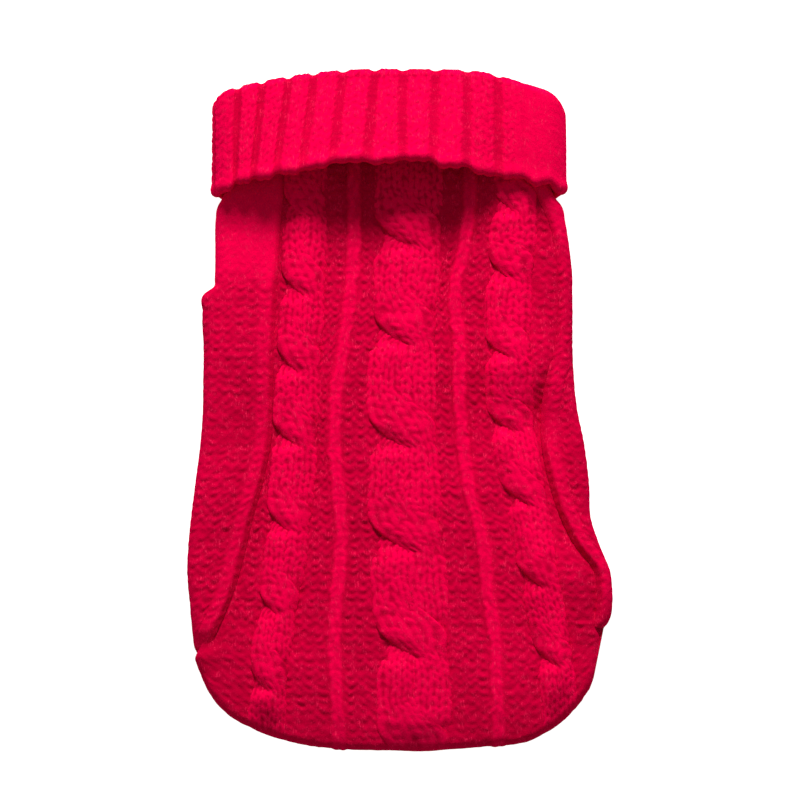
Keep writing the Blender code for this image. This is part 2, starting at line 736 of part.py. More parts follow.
def main():
    for existing in list(bpy.data.objects):
        bpy.data.objects.remove(existing)

    body_wool = knit_material("body_wool", BODY_COLOUR)
    rib_wool = knit_material("rib_wool", RIB_COLOUR)

    cutters = [make_leg_cutter(name + "_cutter", centre) for name, centre in LEG_BAND_CENTRES.items()]
    made = [make_back_panel(body_wool), make_belly_panel(body_wool, cutters), make_collar(rib_wool)]
    made += [make_leg_band(name, centre, rib_wool) for name, centre in LEG_BAND_CENTRES.items()]

    shift = shift_to_ground(made)
    for piece in made + cutters:
        piece.location = shift


if __name__ == "__main__":
    main()
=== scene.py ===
"""The looks of a small dog's cable-knit sweater, lying flat with its back up.

The cloth is laid out stitch by stitch: every knit and purl stitch is real relief in the mesh,
the cables are pairs of strands that cross over each other, and the wool's fibres are in the
materials. Tables and sizes are in millimetres; meshes are made in metres.
"""

from __future__ import annotations

import logging
import math
from dataclasses import dataclass, field
from enum import Enum

import bmesh
import bpy
import numpy as np
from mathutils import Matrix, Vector

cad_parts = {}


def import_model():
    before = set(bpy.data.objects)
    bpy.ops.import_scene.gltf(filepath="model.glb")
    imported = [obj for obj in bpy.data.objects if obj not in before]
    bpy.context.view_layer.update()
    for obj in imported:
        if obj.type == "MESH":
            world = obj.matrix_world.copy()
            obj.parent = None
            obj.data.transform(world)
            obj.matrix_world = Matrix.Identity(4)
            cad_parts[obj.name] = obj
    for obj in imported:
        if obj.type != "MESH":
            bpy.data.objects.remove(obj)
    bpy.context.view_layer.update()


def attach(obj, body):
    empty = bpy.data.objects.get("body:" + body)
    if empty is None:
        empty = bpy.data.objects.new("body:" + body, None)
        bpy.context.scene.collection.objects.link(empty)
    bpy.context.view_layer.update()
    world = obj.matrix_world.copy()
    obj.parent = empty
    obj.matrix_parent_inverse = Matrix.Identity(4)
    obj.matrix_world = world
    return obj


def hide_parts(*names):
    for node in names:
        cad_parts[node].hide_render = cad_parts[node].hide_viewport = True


Array = np.ndarray
Colour = tuple[float, float, float, float]
Inputs = dict[str | int, object]
Fade = tuple[float, float, float]   # the share that is lost, how far before the line it starts, its length
LOG = logging.getLogger("dog_sweater")

MM = 0.001
GARMENT_SHIFT = (-0.10, 0.03)       # brings the outline's middle to the frame's origin
WALL = 3.0                          # the cloth on its plain side
SEAM_GAP = 0.3                      # between two pieces that are sewn together
NECK_Y = 104.0                      # where the body is sewn to the collar
LEG_CENTRES = {"left": (-47.0, 50.0), "right": (42.0, 50.0)}
WHITE = (1.0, 1.0, 1.0, 1.0)


def ease(part: Array | float) -> Array:
    """Rise from 0 to 1 with level ends, over the part of the way that lies in 0..1."""
    part = np.clip(part, 0.0, 1.0)
    return part * part * (3.0 - 2.0 * part)


def hump(distance: Array | float, reach: float) -> Array:
    """A soft hump that is 1 at distance 0 and falls off to both sides over its reach."""
    return np.exp(-(distance / reach) ** 2)


def faded(past: Array, fade: Fade) -> Array:
    """What a fade leaves, from 1 down, of a form that lies so far past a line."""
    return 1.0 - fade[0] * ease((past + fade[1]) / fade[2])


def rounded(part: Array, power: float = 0.8) -> Array:
    """A rounded back that is 1 at 0 and ends at -1 and 1."""
    return np.clip(1.0 - part ** 2, 0.0, 1.0) ** power


def mix(one: Array | float, other: Array | float, share: Array | float) -> Array:
    """What lies at a share of the way from one to the other."""
    return one + (other - one) * share


def between(one: Array, other: Array, share: Array) -> Array:
    """What lies at shares of the way from each row's one value to its other, rows by shares."""
    return mix(one[:, None], other[:, None], share)


def divided(marks: tuple[Array, ...], steps: tuple[int, ...]) -> Array:
    """Divide the way from each mark to the next into even steps.

    Args:
        marks: Each mark's place on every row.
        steps: The number of steps between each two marks.

    Returns:
        Places, rows by points, from the first mark to the last.
    """
    ways = [between(one, other, np.arange(count) / count)
            for one, other, count in zip(marks, marks[1:], steps)]
    return np.concatenate([*ways, marks[-1][:, None]], axis=1)


class Sections:
    """A table of sections along the garment, read smoothly between its rows."""

    def __init__(self, columns: tuple[str, ...], rows: tuple[tuple[float, ...], ...]) -> None:
        """Sort the rows by y and work out each column's slopes.

        Args:
            columns: The columns' names, y first.
            rows: One tuple of numbers for each section.
        """
        data = np.array(sorted(rows), dtype=float)
        self.y = data[:, 0]
        self.values = {name: data[:, i] for i, name in enumerate(columns)}
        self.slopes = {name: np.gradient(column, self.y) for name, column in self.values.items()}

    def at(self, name: str, y: Array | float) -> Array:
        """Read a column at any y.

        Args:
            name: The column.
            y: Where to read it; past the table's ends the end value holds.

        Returns:
            The column's values, of y's shape.
        """
        y = np.clip(y, self.y[0], self.y[-1])
        i = np.clip(np.searchsorted(self.y, y) - 1, 0, len(self.y) - 2)
        span = self.y[i + 1] - self.y[i]
        s = (y - self.y[i]) / span
        value, slope = self.values[name], self.slopes[name]
        return ((1 + 2 * s) * (1 - s) ** 2 * value[i] + s * (1 - s) ** 2 * span * slope[i]
                + s * s * (3 - 2 * s) * value[i + 1] + s * s * (s - 1) * span * slope[i + 1])


# The flat body's outline and the seams between back and belly panel, seen from above.
BODY = Sections(
    ("y", "left_side", "right_side", "left_seam", "right_seam"),
    (
        (104.0, -71.4, 62.6, -46.8, 49.0),
        (86.5, -71.4, 62.6, -47.4, 55.4),
        (83.0, -73.5, 65.4, -47.6, 57.2),
        (77.0, -74.4, 66.8, -48.2, 60.0),
        (65.0, -74.5, 68.6, -49.0, 62.8),
        (54.0, -74.7, 69.6, -49.6, 63.8),
        (50.3, -75.1, 69.6, -49.8, 64.0),
        (47.3, -78.9, 69.6, -49.9, 64.0),
        (40.0, -79.5, 69.6, -50.2, 63.8),
        (24.4, -79.0, 69.6, -50.9, 62.2),
        (10.0, -79.1, 70.3, -51.2, 59.0),
        (0.0, -79.2, 71.4, -51.4, 57.2),
        (-12.0, -80.0, 73.8, -51.9, 57.2),
        (-29.8, -82.1, 76.0, -55.2, 60.2),
        (-44.7, -83.9, 76.8, -59.2, 65.0),
        (-54.8, -84.8, 80.0, -61.6, 70.0),
        (-66.5, -85.2, 84.5, -64.4, 78.4),
        (-73.5, -84.7, 85.2, -66.4, 79.4),
        (-79.5, -84.0, 85.2, -68.6, 79.4),
        (-85.3, -83.6, 84.4, -71.0, 78.6),
        (-91.0, -83.0, 82.4, -73.6, 77.1),
        (-96.6, -82.3, 81.0, -75.8, 76.8),
        (-102.0, -81.2, 79.6, -76.9, 76.8),
    ),
)

# Where each cable and rib of the back panel runs, and each cable's half width.
PATTERN = Sections(
    ("y", "left_cable", "left_rib", "centre_cable", "right_rib", "right_cable",
     "left_cable_half", "centre_cable_half", "right_cable_half"),
    (
        (104.0, -37.8, -18.4, 3.8, 28.6, 46.0, 7.8, 13.0, 7.6),
        (85.0, -38.0, -18.4, 3.6, 28.4, 46.4, 8.4, 13.2, 8.8),
        (65.0, -38.2, -18.4, 3.4, 26.0, 45.4, 8.6, 13.4, 9.2),
        (45.0, -39.0, -20.0, 2.6, 22.0, 43.8, 8.6, 12.6, 9.0),
        (24.0, -40.2, -22.8, 1.2, 24.2, 43.6, 8.6, 13.2, 9.0),
        (4.0, -41.2, -25.6, 0.6, 24.0, 44.2, 8.8, 13.4, 9.0),
        (-16.0, -42.2, -26.2, 1.6, 25.6, 46.2, 8.8, 13.6, 8.8),
        (-36.0, -43.6, -24.4, 1.9, 28.4, 50.4, 8.8, 14.2, 8.2),
        (-57.0, -45.6, -23.4, 3.2, 33.8, 54.0, 8.6, 14.8, 7.9),
        (-77.0, -48.2, -25.1, 4.1, 35.8, 57.2, 8.0, 14.8, 7.7),
        (-97.0, -51.2, -26.2, 5.4, 38.4, 61.2, 7.6, 14.0, 7.4),
        (-118.0, -52.8, -25.0, 5.8, 39.2, 63.6, 7.2, 14.4, 6.9),
        (-138.0, -53.6, -24.4, 5.6, 39.6, 65.2, 7.0, 14.6, 6.4),
    ),
)


# --- Stitches ----------------------------------------------------------------


def soften(heights: Array, passes: int = 1) -> Array:
    """Blur heights over their grid, as fuzz does with the forms under it.

    Args:
        heights: Rows by columns.
        passes: How many times every point is mixed with its four neighbours.

    Returns:
        The blurred heights.
    """
    for _ in range(passes):
        wide = np.pad(heights, 1, mode="edge")
        around = wide[:-2, 1:-1] + wide[2:, 1:-1] + wide[1:-1, :-2] + wide[1:-1, 2:]
        heights = 0.4 * heights + 0.15 * around
    return heights


class Face(Enum):
    """Which side of the stitches shows."""

    KNIT = "knit"
    PURL = "purl"
    HIDDEN = "hidden"


class Unevenness:
    """The unevenness of the knitting: one seeded value a stitch, smooth in between."""

    def __init__(self, seed: int, rows: int = 131, wales: int = 97) -> None:
        """Draw the values of a field that repeats after so many rows and wales."""
        self.values = np.random.default_rng(seed).uniform(-1.0, 1.0, (rows, wales))

    def at(self, wale: Array, row: Array) -> Array:
        """Read the field.

        Args:
            wale: Position across the cloth, in stitches.
            row: Position along the cloth, in rows.

        Returns:
            Values from -1 to 1.
        """
        rows, wales = self.values.shape
        i, j = np.floor(row).astype(int), np.floor(wale).astype(int)
        down, right = ease(row - i), ease(wale - j)
        upper, lower = (self.values[k % rows, j % wales] * (1 - right)
                        + self.values[k % rows, (j + 1) % wales] * right for k in (i, i + 1))
        return upper * (1 - down) + lower * down


@dataclass(frozen=True)
class Stitches:
    """The gauge of the wool and the form that its stitches give the cloth's face."""

    wale: float = 4.6           # width of a stitch
    course: float = 3.50        # height of a row
    points_a_row: int = 6       # rows of a mesh's points for each row of stitches
    leg_start: float = 0.10     # a knit stitch's two legs, as shares of the wale
    leg_spread: float = 0.27
    leg_half: float = 0.225
    leg_reach: float = 1.20     # rows that a leg spans
    purl_wave: float = 0.25     # how far a purl ridge waves, in rows
    purl_run: float = 0.60      # how much of a purl row runs on from stitch to stitch
    pit_depth: float = 0.52
    pit_half: tuple[float, float] = (0.25, 0.20)    # in wales and rows
    slip: tuple[float, float] = (0.20, 0.23)        # unevenness of place, across and along
    swell: float = 0.36         # and of height
    lumps: float = 0.34         # thick and thin places in the yarn, and how many to a stitch
    lump_rate: tuple[float, float] = (2.1, 1.9)
    tufts: float = 0.32         # and tufts of its fibres
    tuft_rate: tuple[float, float] = (4.3, 3.3)
    leg_taper: float = 0.38     # how much a knit stitch's leg narrows at its ends
    knit_lumps: float = 0.6     # how much of the lumps shows on knit stitches
    pit_spread: float = 0.55    # how much the pits' depths differ
    seed: int = 7

    @property
    def step(self) -> float:
        """Distance between two rows of a mesh's points."""
        return self.course / self.points_a_row

    def uneven(self, salt: int, number: int) -> Unevenness:
        """One of the fields of unevenness of the piece with this salt."""
        return Unevenness(self.seed + salt * 10 + number)

    def shifted(self, wale: Array, row: Array, salt: int) -> tuple[Array, Array, Array]:
        """The wale and the row, moved a little out of true, and each stitch's size factor."""
        across, along, size = (self.uneven(salt, i).at(wale, row) for i in range(3))
        return wale + self.slip[0] * across, row + self.slip[1] * along, 1.0 + self.swell * size

    def knit(self, wale: Array, row: Array, salt: int = 0) -> Array:
        """Relief of knit stitches: two legs that spread from a point towards the later rows.

        Args:
            wale: Position across, in stitches.
            row: Position along, in rows, rising in the direction of knitting.
            salt: The piece's own unevenness.

        Returns:
            Heights from 0 in a crease to about 1 on a leg.
        """
        wale, row, size = self.shifted(wale, row, salt)
        across = np.abs(wale - np.floor(wale) - 0.5)
        height = np.zeros(np.broadcast(wale, row).shape)
        for back in (0, 1):
            part = np.clip((row - np.floor(row) + back) / self.leg_reach, 0.0, 1.0)
            centre = self.leg_start + self.leg_spread * part ** 0.8
            half = self.leg_half * (1.0 - self.leg_taper * (1.0 - np.sin(math.pi * part)))
            arch = rounded((across - centre) / half)
            ends = np.clip(1.0 - np.abs(2.0 * part - 1.0) ** 2.6, 0.0, 1.0) ** 0.7
            height = np.maximum(height, arch * ends)
        return height * size + self.knit_lumps * self.lump(wale, row, salt)

    def lump(self, wale: Array, row: Array, salt: int) -> Array:
        """Height of the yarn's thick and thin places and of its tufts."""
        thick = self.uneven(salt, 5).at(self.lump_rate[0] * wale, self.lump_rate[1] * row)
        tufts = self.uneven(salt, 6).at(self.tuft_rate[0] * wale, self.tuft_rate[1] * row)
        return self.lumps * thick + self.tufts * tufts

    def purl(self, wale: Array, row: Array, salt: int = 0) -> Array:
        """Relief of purl stitches: a waving ridge for each row, with pits between the ridges.

        Args:
            wale: Position across, in stitches.
            row: Position along, in rows.
            salt: The piece's own unevenness.

        Returns:
            Heights from about -0.4 in a pit to 1 on a ridge.
        """
        wale, row, size = self.shifted(wale, row, salt)
        turn = 2.0 * math.pi * wale
        phase = row + self.purl_wave * (np.cos(turn) + 0.2 * np.cos(2.0 * turn))
        from_middle = phase - np.floor(phase) - 0.5
        ridge = 0.5 + 0.5 * np.cos(2.0 * math.pi * from_middle)
        ridge = 0.75 + self.purl_run * (ridge * (0.84 + 0.16 * np.cos(2.0 * turn)) - 0.75)
        beside = (wale - np.floor(wale) - 0.5) / self.pit_half[0]
        between = (phase - np.round(phase)) / self.pit_half[1]
        open_pit = 1.0 + self.pit_spread * self.uneven(salt, 4).at(wale, row)
        pits = self.pit_depth * open_pit * np.exp(-beside ** 2 - between ** 2)
        return ridge * size - pits + self.lump(wale, row, salt)


RIB_STITCHES = Stitches(wale=6.6, leg_start=0.17, leg_spread=0.17, leg_half=0.19, leg_reach=1.3)


# --- Cloth meshes ------------------------------------------------------------


def grid_normals(grid: Array) -> Array:
    """Unit normals of a grid of points.

    Args:
        grid: Points, rows by columns by 3, with columns running to the right of rows.

    Returns:
        Normals of the same shape, facing the side where rows run away and columns run right.
    """
    normal = np.cross(np.gradient(grid, axis=0), np.gradient(grid, axis=1))
    return normal / np.maximum(np.linalg.norm(normal, axis=2, keepdims=True), 1e-9)


def crown_of(relief: Array) -> Array:
    """How far points stand out on their stitches, by their relief; the finish paints low points darker, as
    painted shade in the creases.
    """
    return relief / 2.6 + 0.06


def add_object(name: str, data: bpy.types.ID) -> bpy.types.Object:
    """Put a new object into the scene."""
    made = bpy.data.objects.new(name, data)
    bpy.context.scene.collection.objects.link(made)
    return made


@dataclass
class Cloth:
    """A closed piece of cloth, gathered from grids of points and the faces that join them."""

    points: list[Array] = field(default_factory=list)
    crowns: list[Array] = field(default_factory=list)
    quads: list[Array] = field(default_factory=list)
    triangles: list[tuple[int, int, int]] = field(default_factory=list)
    caps: list[list[int]] = field(default_factory=list)
    count: int = 0

    def add_grid(self, grid: Array, crown: Array | None = None) -> Array:
        """Add rows of points, with quads between them.

        Args:
            grid: Points in millimetres, rows by columns by 3.
            crown: How far each point stands out on its stitch, 0 to 1; 0.5 where not given.

        Returns:
            The points' indices, rows by columns.
        """
        rows, columns = grid.shape[:2]
        index = self.count + np.arange(rows * columns).reshape(rows, columns)
        self.points.append(grid.reshape(-1, 3))
        self.crowns.append(np.full(rows * columns, 0.5) if crown is None else crown.reshape(-1))
        self.quads.append(np.stack([index[:-1, :-1], index[:-1, 1:], index[1:, 1:], index[1:, :-1]],
                                   axis=-1).reshape(-1, 4))
        self.count += rows * columns
        return index

    def join(self, one: Array, other: Array) -> None:
        """Join two lines of the same number of points with quads."""
        self.quads.append(np.stack([one[:-1], one[1:], other[1:], other[:-1]], axis=-1))

    def add_tube(self, grid: Array, crown: Array | None = None, capped: bool = False) -> None:
        """Add rings of points, each closed on itself.

        Args:
            grid: Points in millimetres, rings by points by 3.
            crown: How far each point stands out on its stitch, 0 to 1; 0.5 where not given.
            capped: Whether the first ring and the last are filled. If not, they are joined.
        """
        index = self.add_grid(grid, crown)
        self.join(index[:, -1], index[:, 0])
        if capped:
            self.caps += [list(index[0]), list(index[-1][::-1])]
        else:
            self.join(np.append(index[-1], index[-1, 0]), np.append(index[0], index[0, 0]))

    def zip_lines(self, one: Array, other: Array, along_one: Array, along_other: Array) -> None:
        """Join two lines with different numbers of points.

        Args:
            one: Indices of the first line.
            other: Indices of the second line, which runs beside it the same way.
            along_one: How far along it each point of the first line lies.
            along_other: The same for the second line.
        """
        i = j = 0
        while i < len(one) - 1 or j < len(other) - 1:
            next_one = along_one[i + 1] if i < len(one) - 1 else math.inf
            next_other = along_other[j + 1] if j < len(other) - 1 else math.inf
            if next_one <= next_other:
                self.triangles.append((one[i], one[i + 1], other[j]))
                i += 1
            else:
                self.triangles.append((one[i], other[j + 1], other[j]))
                j += 1

    def zip_borders(self, outer: Array, inner: Array) -> None:
        """Join the borders of two grids of different fineness, side by side.

        Args:
            outer: Indices of the first grid.
            inner: Indices of the second grid, which lies under the first.
        """
        points = np.concatenate(self.points)
        for axis, pick in ((0, lambda g: g[0]), (1, lambda g: g[:, -1]),
                           (0, lambda g: g[-1, ::-1]), (1, lambda g: g[::-1, 0])):
            one, other = pick(outer), pick(inner)
            start = points[one[0], axis]
            self.zip_lines(one, other, np.abs(points[one, axis] - start), np.abs(points[other, axis] - start))

    def build(self, name: str, material: bpy.types.Material) -> bpy.types.Object:
        """Make the object in the row frame, in metres, with its faces pointing out.

        Args:
            name: The piece's name.
            material: Its finish.

        Returns:
            The new object.
        """
        points = np.concatenate(self.points) + np.array([*GARMENT_SHIFT, 0.0])
        points[:, 2] = np.maximum(points[:, 2], 0.0)
        quads = np.concatenate(self.quads)
        triangles = np.array(self.triangles, dtype=int).reshape(-1, 3)
        loops = [quads.reshape(-1), triangles.reshape(-1), *(np.array(cap) for cap in self.caps)]
        sizes = np.concatenate([np.full(len(quads), 4), np.full(len(triangles), 3),
                                np.array([len(cap) for cap in self.caps], dtype=int)]).astype(int)
        corners = np.concatenate(loops).astype(np.int32)
        mesh = bpy.data.meshes.new(name)
        mesh.vertices.add(len(points))
        mesh.vertices.foreach_set("co", (points * MM).astype(np.float32).reshape(-1))
        mesh.loops.add(len(corners))
        mesh.loops.foreach_set("vertex_index", corners)
        mesh.polygons.add(len(sizes))
        mesh.polygons.foreach_set("loop_start", np.concatenate([[0], np.cumsum(sizes)[:-1]]).astype(np.int32))
        mesh.update(calc_edges=True)
        # The crown attribute carries painted shade: the finish paints low crowns in the deep colour.
        crown = mesh.attributes.new("crown", "FLOAT", "POINT")
        crown.data.foreach_set("value", np.clip(np.concatenate(self.crowns), 0.0, 1.0).astype(np.float32))
        work = bmesh.new()
        work.from_mesh(mesh)
        bmesh.ops.dissolve_degenerate(work, edges=work.edges, dist=1e-7)
        bmesh.ops.recalc_face_normals(work, faces=work.faces)
        work.to_mesh(mesh)
        work.free()
        mesh.shade_smooth()
        mesh.materials.append(material)
        return add_object(name, mesh)


# --- The body's surface ------------------------------------------------------


class Side(Enum):
    """A side of the body."""

    LEFT = "left"
    RIGHT = "right"

    @property
    def sign(self) -> float:
        """Which way the side lies along X."""
        return -1.0 if self is Side.LEFT else 1.0

    @property
    def index(self) -> int:
        """Its place in a pair of left and right."""
        return 0 if self is Side.LEFT else 1


@dataclass(frozen=True)
class Fold:
    """A soft ridge in the way the cloth lies, or a trough where its height is below 0."""

    x: float
    y: float
    long: float         # half sizes
    wide: float
    turn: float         # degrees from +X to its length
    height: float

    def at(self, x: Array, y: Array) -> Array:
        """Read its height.

        Args:
            x: Plan x.
            y: Plan y.

        Returns:
            The heights there.
        """
        cos, sin = math.cos(math.radians(self.turn)), math.sin(math.radians(self.turn))
        along = ((x - self.x) * cos + (y - self.y) * sin) / self.long
        aside = ((y - self.y) * cos - (x - self.x) * sin) / self.wide
        return self.height * np.exp(-along ** 2 - aside ** 2)


@dataclass(frozen=True)
class BodySurface:
    """The plain surface that the back's stitches lie on: level, then rolled over at the tail."""

    radius: float = 4.2             # half the thickness of the flat body
    neck_lift: float = 3.8
    neck_sag: float = 1.6           # how much less the upper cloth is lifted at the neck
    lift_start_y: float = 70.0
    lift_end_y: float = 93.0
    hem_radius: float = 3.1
    seam_margin: float = 1.4
    tail_centre: tuple[float, float] = (-0.65, -88.0)
    tail_reach: tuple[float, float] = (80.95, 49.9)
    tail_power: float = 2.85
    # Where the tail's lower edge is moved: x, half width and the way along Y.
    tail_fill: tuple[tuple[float, float, float], ...] = ((51.0, 11.0, -2.1), (-54.0, 9.0, 0.9))
    # Where its left edge stands out, beside the belly's hem: y, half length and how far.
    left_fill: tuple[float, float, float] = (-100.5, 5.0, 1.1)
    tail_drop: float = 24.0         # how far in from its edge the tail starts to fall
    tail_fall: float = 1.75         # and how far it falls
    belly_hem_y: float = -93.8
    belly_hem_slope: float = 0.058
    level_rows_end: float = -70.0   # above it, rows of points follow the rows of stitches
    folds: tuple[Fold, ...] = (
        Fold(54.0, 20.0, 22.0, 14.0, 4.0, 2.6),
        Fold(57.0, -5.0, 20.0, 12.0, -8.0, -2.8),
        Fold(66.0, -66.0, 18.0, 12.0, -20.0, 2.2),
        Fold(70.0, -90.0, 14.0, 9.0, -10.0, -0.9),
        Fold(-66.0, 25.0, 19.0, 15.0, -4.0, 1.4),
        Fold(-69.0, -9.0, 17.0, 14.0, 6.0, -1.3),
        Fold(19.0, 22.0, 62.0, 4.4, 92.0, -1.2),
        Fold(33.0, 8.0, 38.0, 5.4, 86.0, -1.8),
        Fold(-15.0, 80.0, 16.0, 4.2, 90.0, -1.0),
        Fold(-74.0, -34.0, 15.0, 12.0, 0.0, 0.9),
        Fold(-75.0, -56.0, 15.0, 10.0, 8.0, -0.7),
        Fold(-35.0, -22.0, 6.0, 19.0, 4.0, -0.8),
        Fold(-14.0, -52.0, 13.0, 9.0, 24.0, -0.6),
        Fold(22.0, -34.0, 16.0, 10.0, 18.0, 0.6),
        Fold(-44.0, -104.0, 15.0, 9.0, -28.0, 0.8),
        Fold(4.0, -118.0, 30.0, 9.0, 0.0, -0.3),
    )

    @property
    def top(self) -> float:
        """The y of the panels' neck edge."""
        return NECK_Y - SEAM_GAP

    @property
    def trial(self) -> Array:
        """Close trial rows from the neck edge to past the tail: their falling y."""
        return np.linspace(self.top, self.tail_centre[1] - self.tail_reach[1] - 14.0, 700)

    def lifted(self, y: Array) -> Array:
        """How far up the neck's slope the cloth is at y, from 0 to 1."""
        return ease((y - self.lift_start_y) / (self.lift_end_y - self.lift_start_y))

    def middle(self, y: Array) -> Array:
        """Height of the middle of the flat body at y, lifted at the neck."""
        return self.radius + self.neck_lift * self.lifted(y)

    def belly_hem(self, x: Array | float) -> Array:
        """The y of the belly panel's lower edge at x."""
        return self.belly_hem_y + self.belly_hem_slope * x

    def seam(self, side: Side, y: Array) -> Array:
        """The x of a seam at y, kept inside the body's round side."""
        limit = self.radius + self.seam_margin
        if side is Side.LEFT:
            return np.maximum(BODY.at("left_seam", y), BODY.at("left_side", y) + limit)
        return np.minimum(BODY.at("right_seam", y), BODY.at("right_side", y) - limit)

    def seam_depth(self, side: Side, y: Array) -> Array:
        """How deep a seam lies, as a share: at the upper right it hardly shows."""
        if side is Side.LEFT:
            return 0.8 + 0.4 * ease((30.0 - y) / 70.0)
        return (0.2 + 1.7 * ease((22.0 - y) / 24.0) - 0.3 * ease((-50.0 - y) / 20.0)
                + 0.5 * ease((y - 60.0) / 14.0))

    def lie(self, x: Array, y: Array) -> Array:
        """How far the folds lift or sink the upper cloth.

        Args:
            x: Plan x.
            y: Plan y.

        Returns:
            Millimetres up, or below 0 down.
        """
        left, right = BODY.at("left_side", y), BODY.at("right_side", y)
        across = np.clip(np.abs(x - (left + right) / 2.0) / ((right - left) / 2.0), 0.0, 1.0)
        height = sum(fold.at(x, y) for fold in self.folds) - self.neck_sag * self.lifted(y)
        return height * (1.0 - across ** 6) * ease((y + 134.0) / 16.0)

    def ground(self, x: Array, y: Array) -> Array:
        """Height of the back's plain outer surface."""
        near_edge = np.clip(1.0 + self.edge(x, y)[0] / self.tail_drop, 0.0, 1.0)
        past_belly = ease((self.belly_hem(x) + 2.0 - y) / 12.0)
        return self.middle(y) + self.radius + self.lie(x, y) - self.tail_fall * near_edge ** 2 * past_belly

    def _reach(self, x: Array, y: Array) -> tuple[Array, Array]:
        """The x and y shares of the way to the rolled edge's start."""
        return ((x - self.tail_centre[0]) / (self.tail_reach[0] - self.hem_radius),
                np.minimum(y - self.tail_centre[1], 0.0) / (self.tail_reach[1] - self.hem_radius))

    def _foot(self, x: Array, y: Array) -> tuple[Array, Array]:
        """Where the way from the tail's centre through a point meets the rolled edge's start line.

        Args:
            x: The point's x.
            y: The point's y.

        Returns:
            The meeting's x and y.
        """
        share = sum(np.abs(way) ** self.tail_power for way in self._reach(x, y)) ** (1.0 / self.tail_power)
        share = np.maximum(share, 1e-6)
        centre_x, centre_y = self.tail_centre
        return centre_x + (x - centre_x) / share, centre_y + (y - centre_y) / share

    def edge(self, x: Array, y: Array) -> tuple[Array, Array, Array, Array, Array]:
        """How a plan point lies to the line where the tail starts to roll over.

        Args:
            x: Plan x.
            y: Plan y.

        Returns:
            The distance past the line, the foot's x and y, and the outward normal's x and y.
        """
        foot_x, foot_y = self._foot(x, y)
        normal_x, normal_y = (np.sign(way) * np.abs(way) ** (self.tail_power - 1) / (reach - self.hem_radius)
                              for way, reach in zip(self._reach(foot_x, foot_y), self.tail_reach))
        length = np.maximum(np.hypot(normal_x, normal_y), 1e-9)
        normal_x, normal_y = normal_x / length, normal_y / length
        past = (x - foot_x) * normal_x + (y - foot_y) * normal_y
        foot_x, foot_y = self._foot(x - normal_x * past, y - normal_y * past)
        past = np.where(y < self.tail_centre[1] - 0.01, past, -50.0)
        return past, foot_x, foot_y, normal_x, normal_y

    def place(self, x: Array, y: Array) -> Array:
        """Lay plan points on the back, rolled over where they pass the tail's edge.

        Args:
            x: Plan x.
            y: Plan y.

        Returns:
            Points, with one more axis of length 3.
        """
        past, foot_x, foot_y, normal_x, normal_y = self.edge(x, y)
        turn = np.clip(past / self.hem_radius, 0.0, math.pi)
        out = self.hem_radius * np.sin(turn)
        rolled = past > 0.0
        z = self.ground(np.where(rolled, foot_x, x), np.where(rolled, foot_y, y))
        across = np.where(rolled, foot_x + normal_x * out, x)
        along = np.where(rolled, foot_y + normal_y * out, y)
        fill = sum(move * hump(across - at, half) for at, half, move in self.tail_fill)
        at, half, move = self.left_fill
        across = across - move * ease((-62.0 - across) / 16.0) * hump(along - at, half)
        along = along + fill * ease((-112.0 - along) / 16.0)
        return np.stack([across, along, np.where(rolled, z * (1.0 + np.cos(turn)) / 2.0, z)], axis=-1)

    def end_of(self, x: Array, distance: Array | float) -> Array:
        """Where columns that run down the back reach a distance past the tail's edge.

        Args:
            x: Each column's x on every trial row, trials by columns.
            distance: The distance, one value or one a column.

        Returns:
            The y of each column's end.
        """
        y = self.trial
        past = self.edge(x, np.broadcast_to(y[:, None], x.shape))[0] - distance
        last = np.where((past > 0.0).any(axis=0), (past > 0.0).argmax(axis=0), len(y) - 1)
        columns = np.arange(x.shape[1])
        after, before = past[last, columns], past[last - 1, columns]
        share = np.clip(after / np.maximum(after - before, 1e-9), 0.0, 1.0)
        share = np.where(before < -20.0, 0.0, share)
        return mix(y[last], y[last - 1], share)

    def on_columns(self, x: Array, y: Array) -> Array:
        """The x of every point at its own y, from each column's x on every trial row."""
        return np.stack([np.interp(-y[:, c], -self.trial, x[:, c]) for c in range(y.shape[1])], axis=1)

    def rows(self, ends: Array, step: float, tail_rows: int) -> Array:
        """The y of every point of a grid that runs down the back.

        Args:
            ends: The y where each column ends.
            step: The distance between two level rows.
            tail_rows: How many rows fan out from the last level one to the ends.

        Returns:
            y, rows by columns.
        """
        level = self.top - step * np.arange(int((self.top - self.level_rows_end) / step))
        start = level[-1] - step
        tail = mix(start, ends, (np.arange(tail_rows + 1) / tail_rows)[:, None])
        return np.concatenate([np.repeat(level[:, None], len(ends), axis=1), tail])


# --- Back panel --------------------------------------------------------------


@dataclass(frozen=True)
class Zone:
    """A strip of the back panel between two lines of the pattern."""

    face: Face
    steps: int              # columns of points across it
    wales: float = 0.0
    from_right: bool = False    # its stitches are counted from its right edge


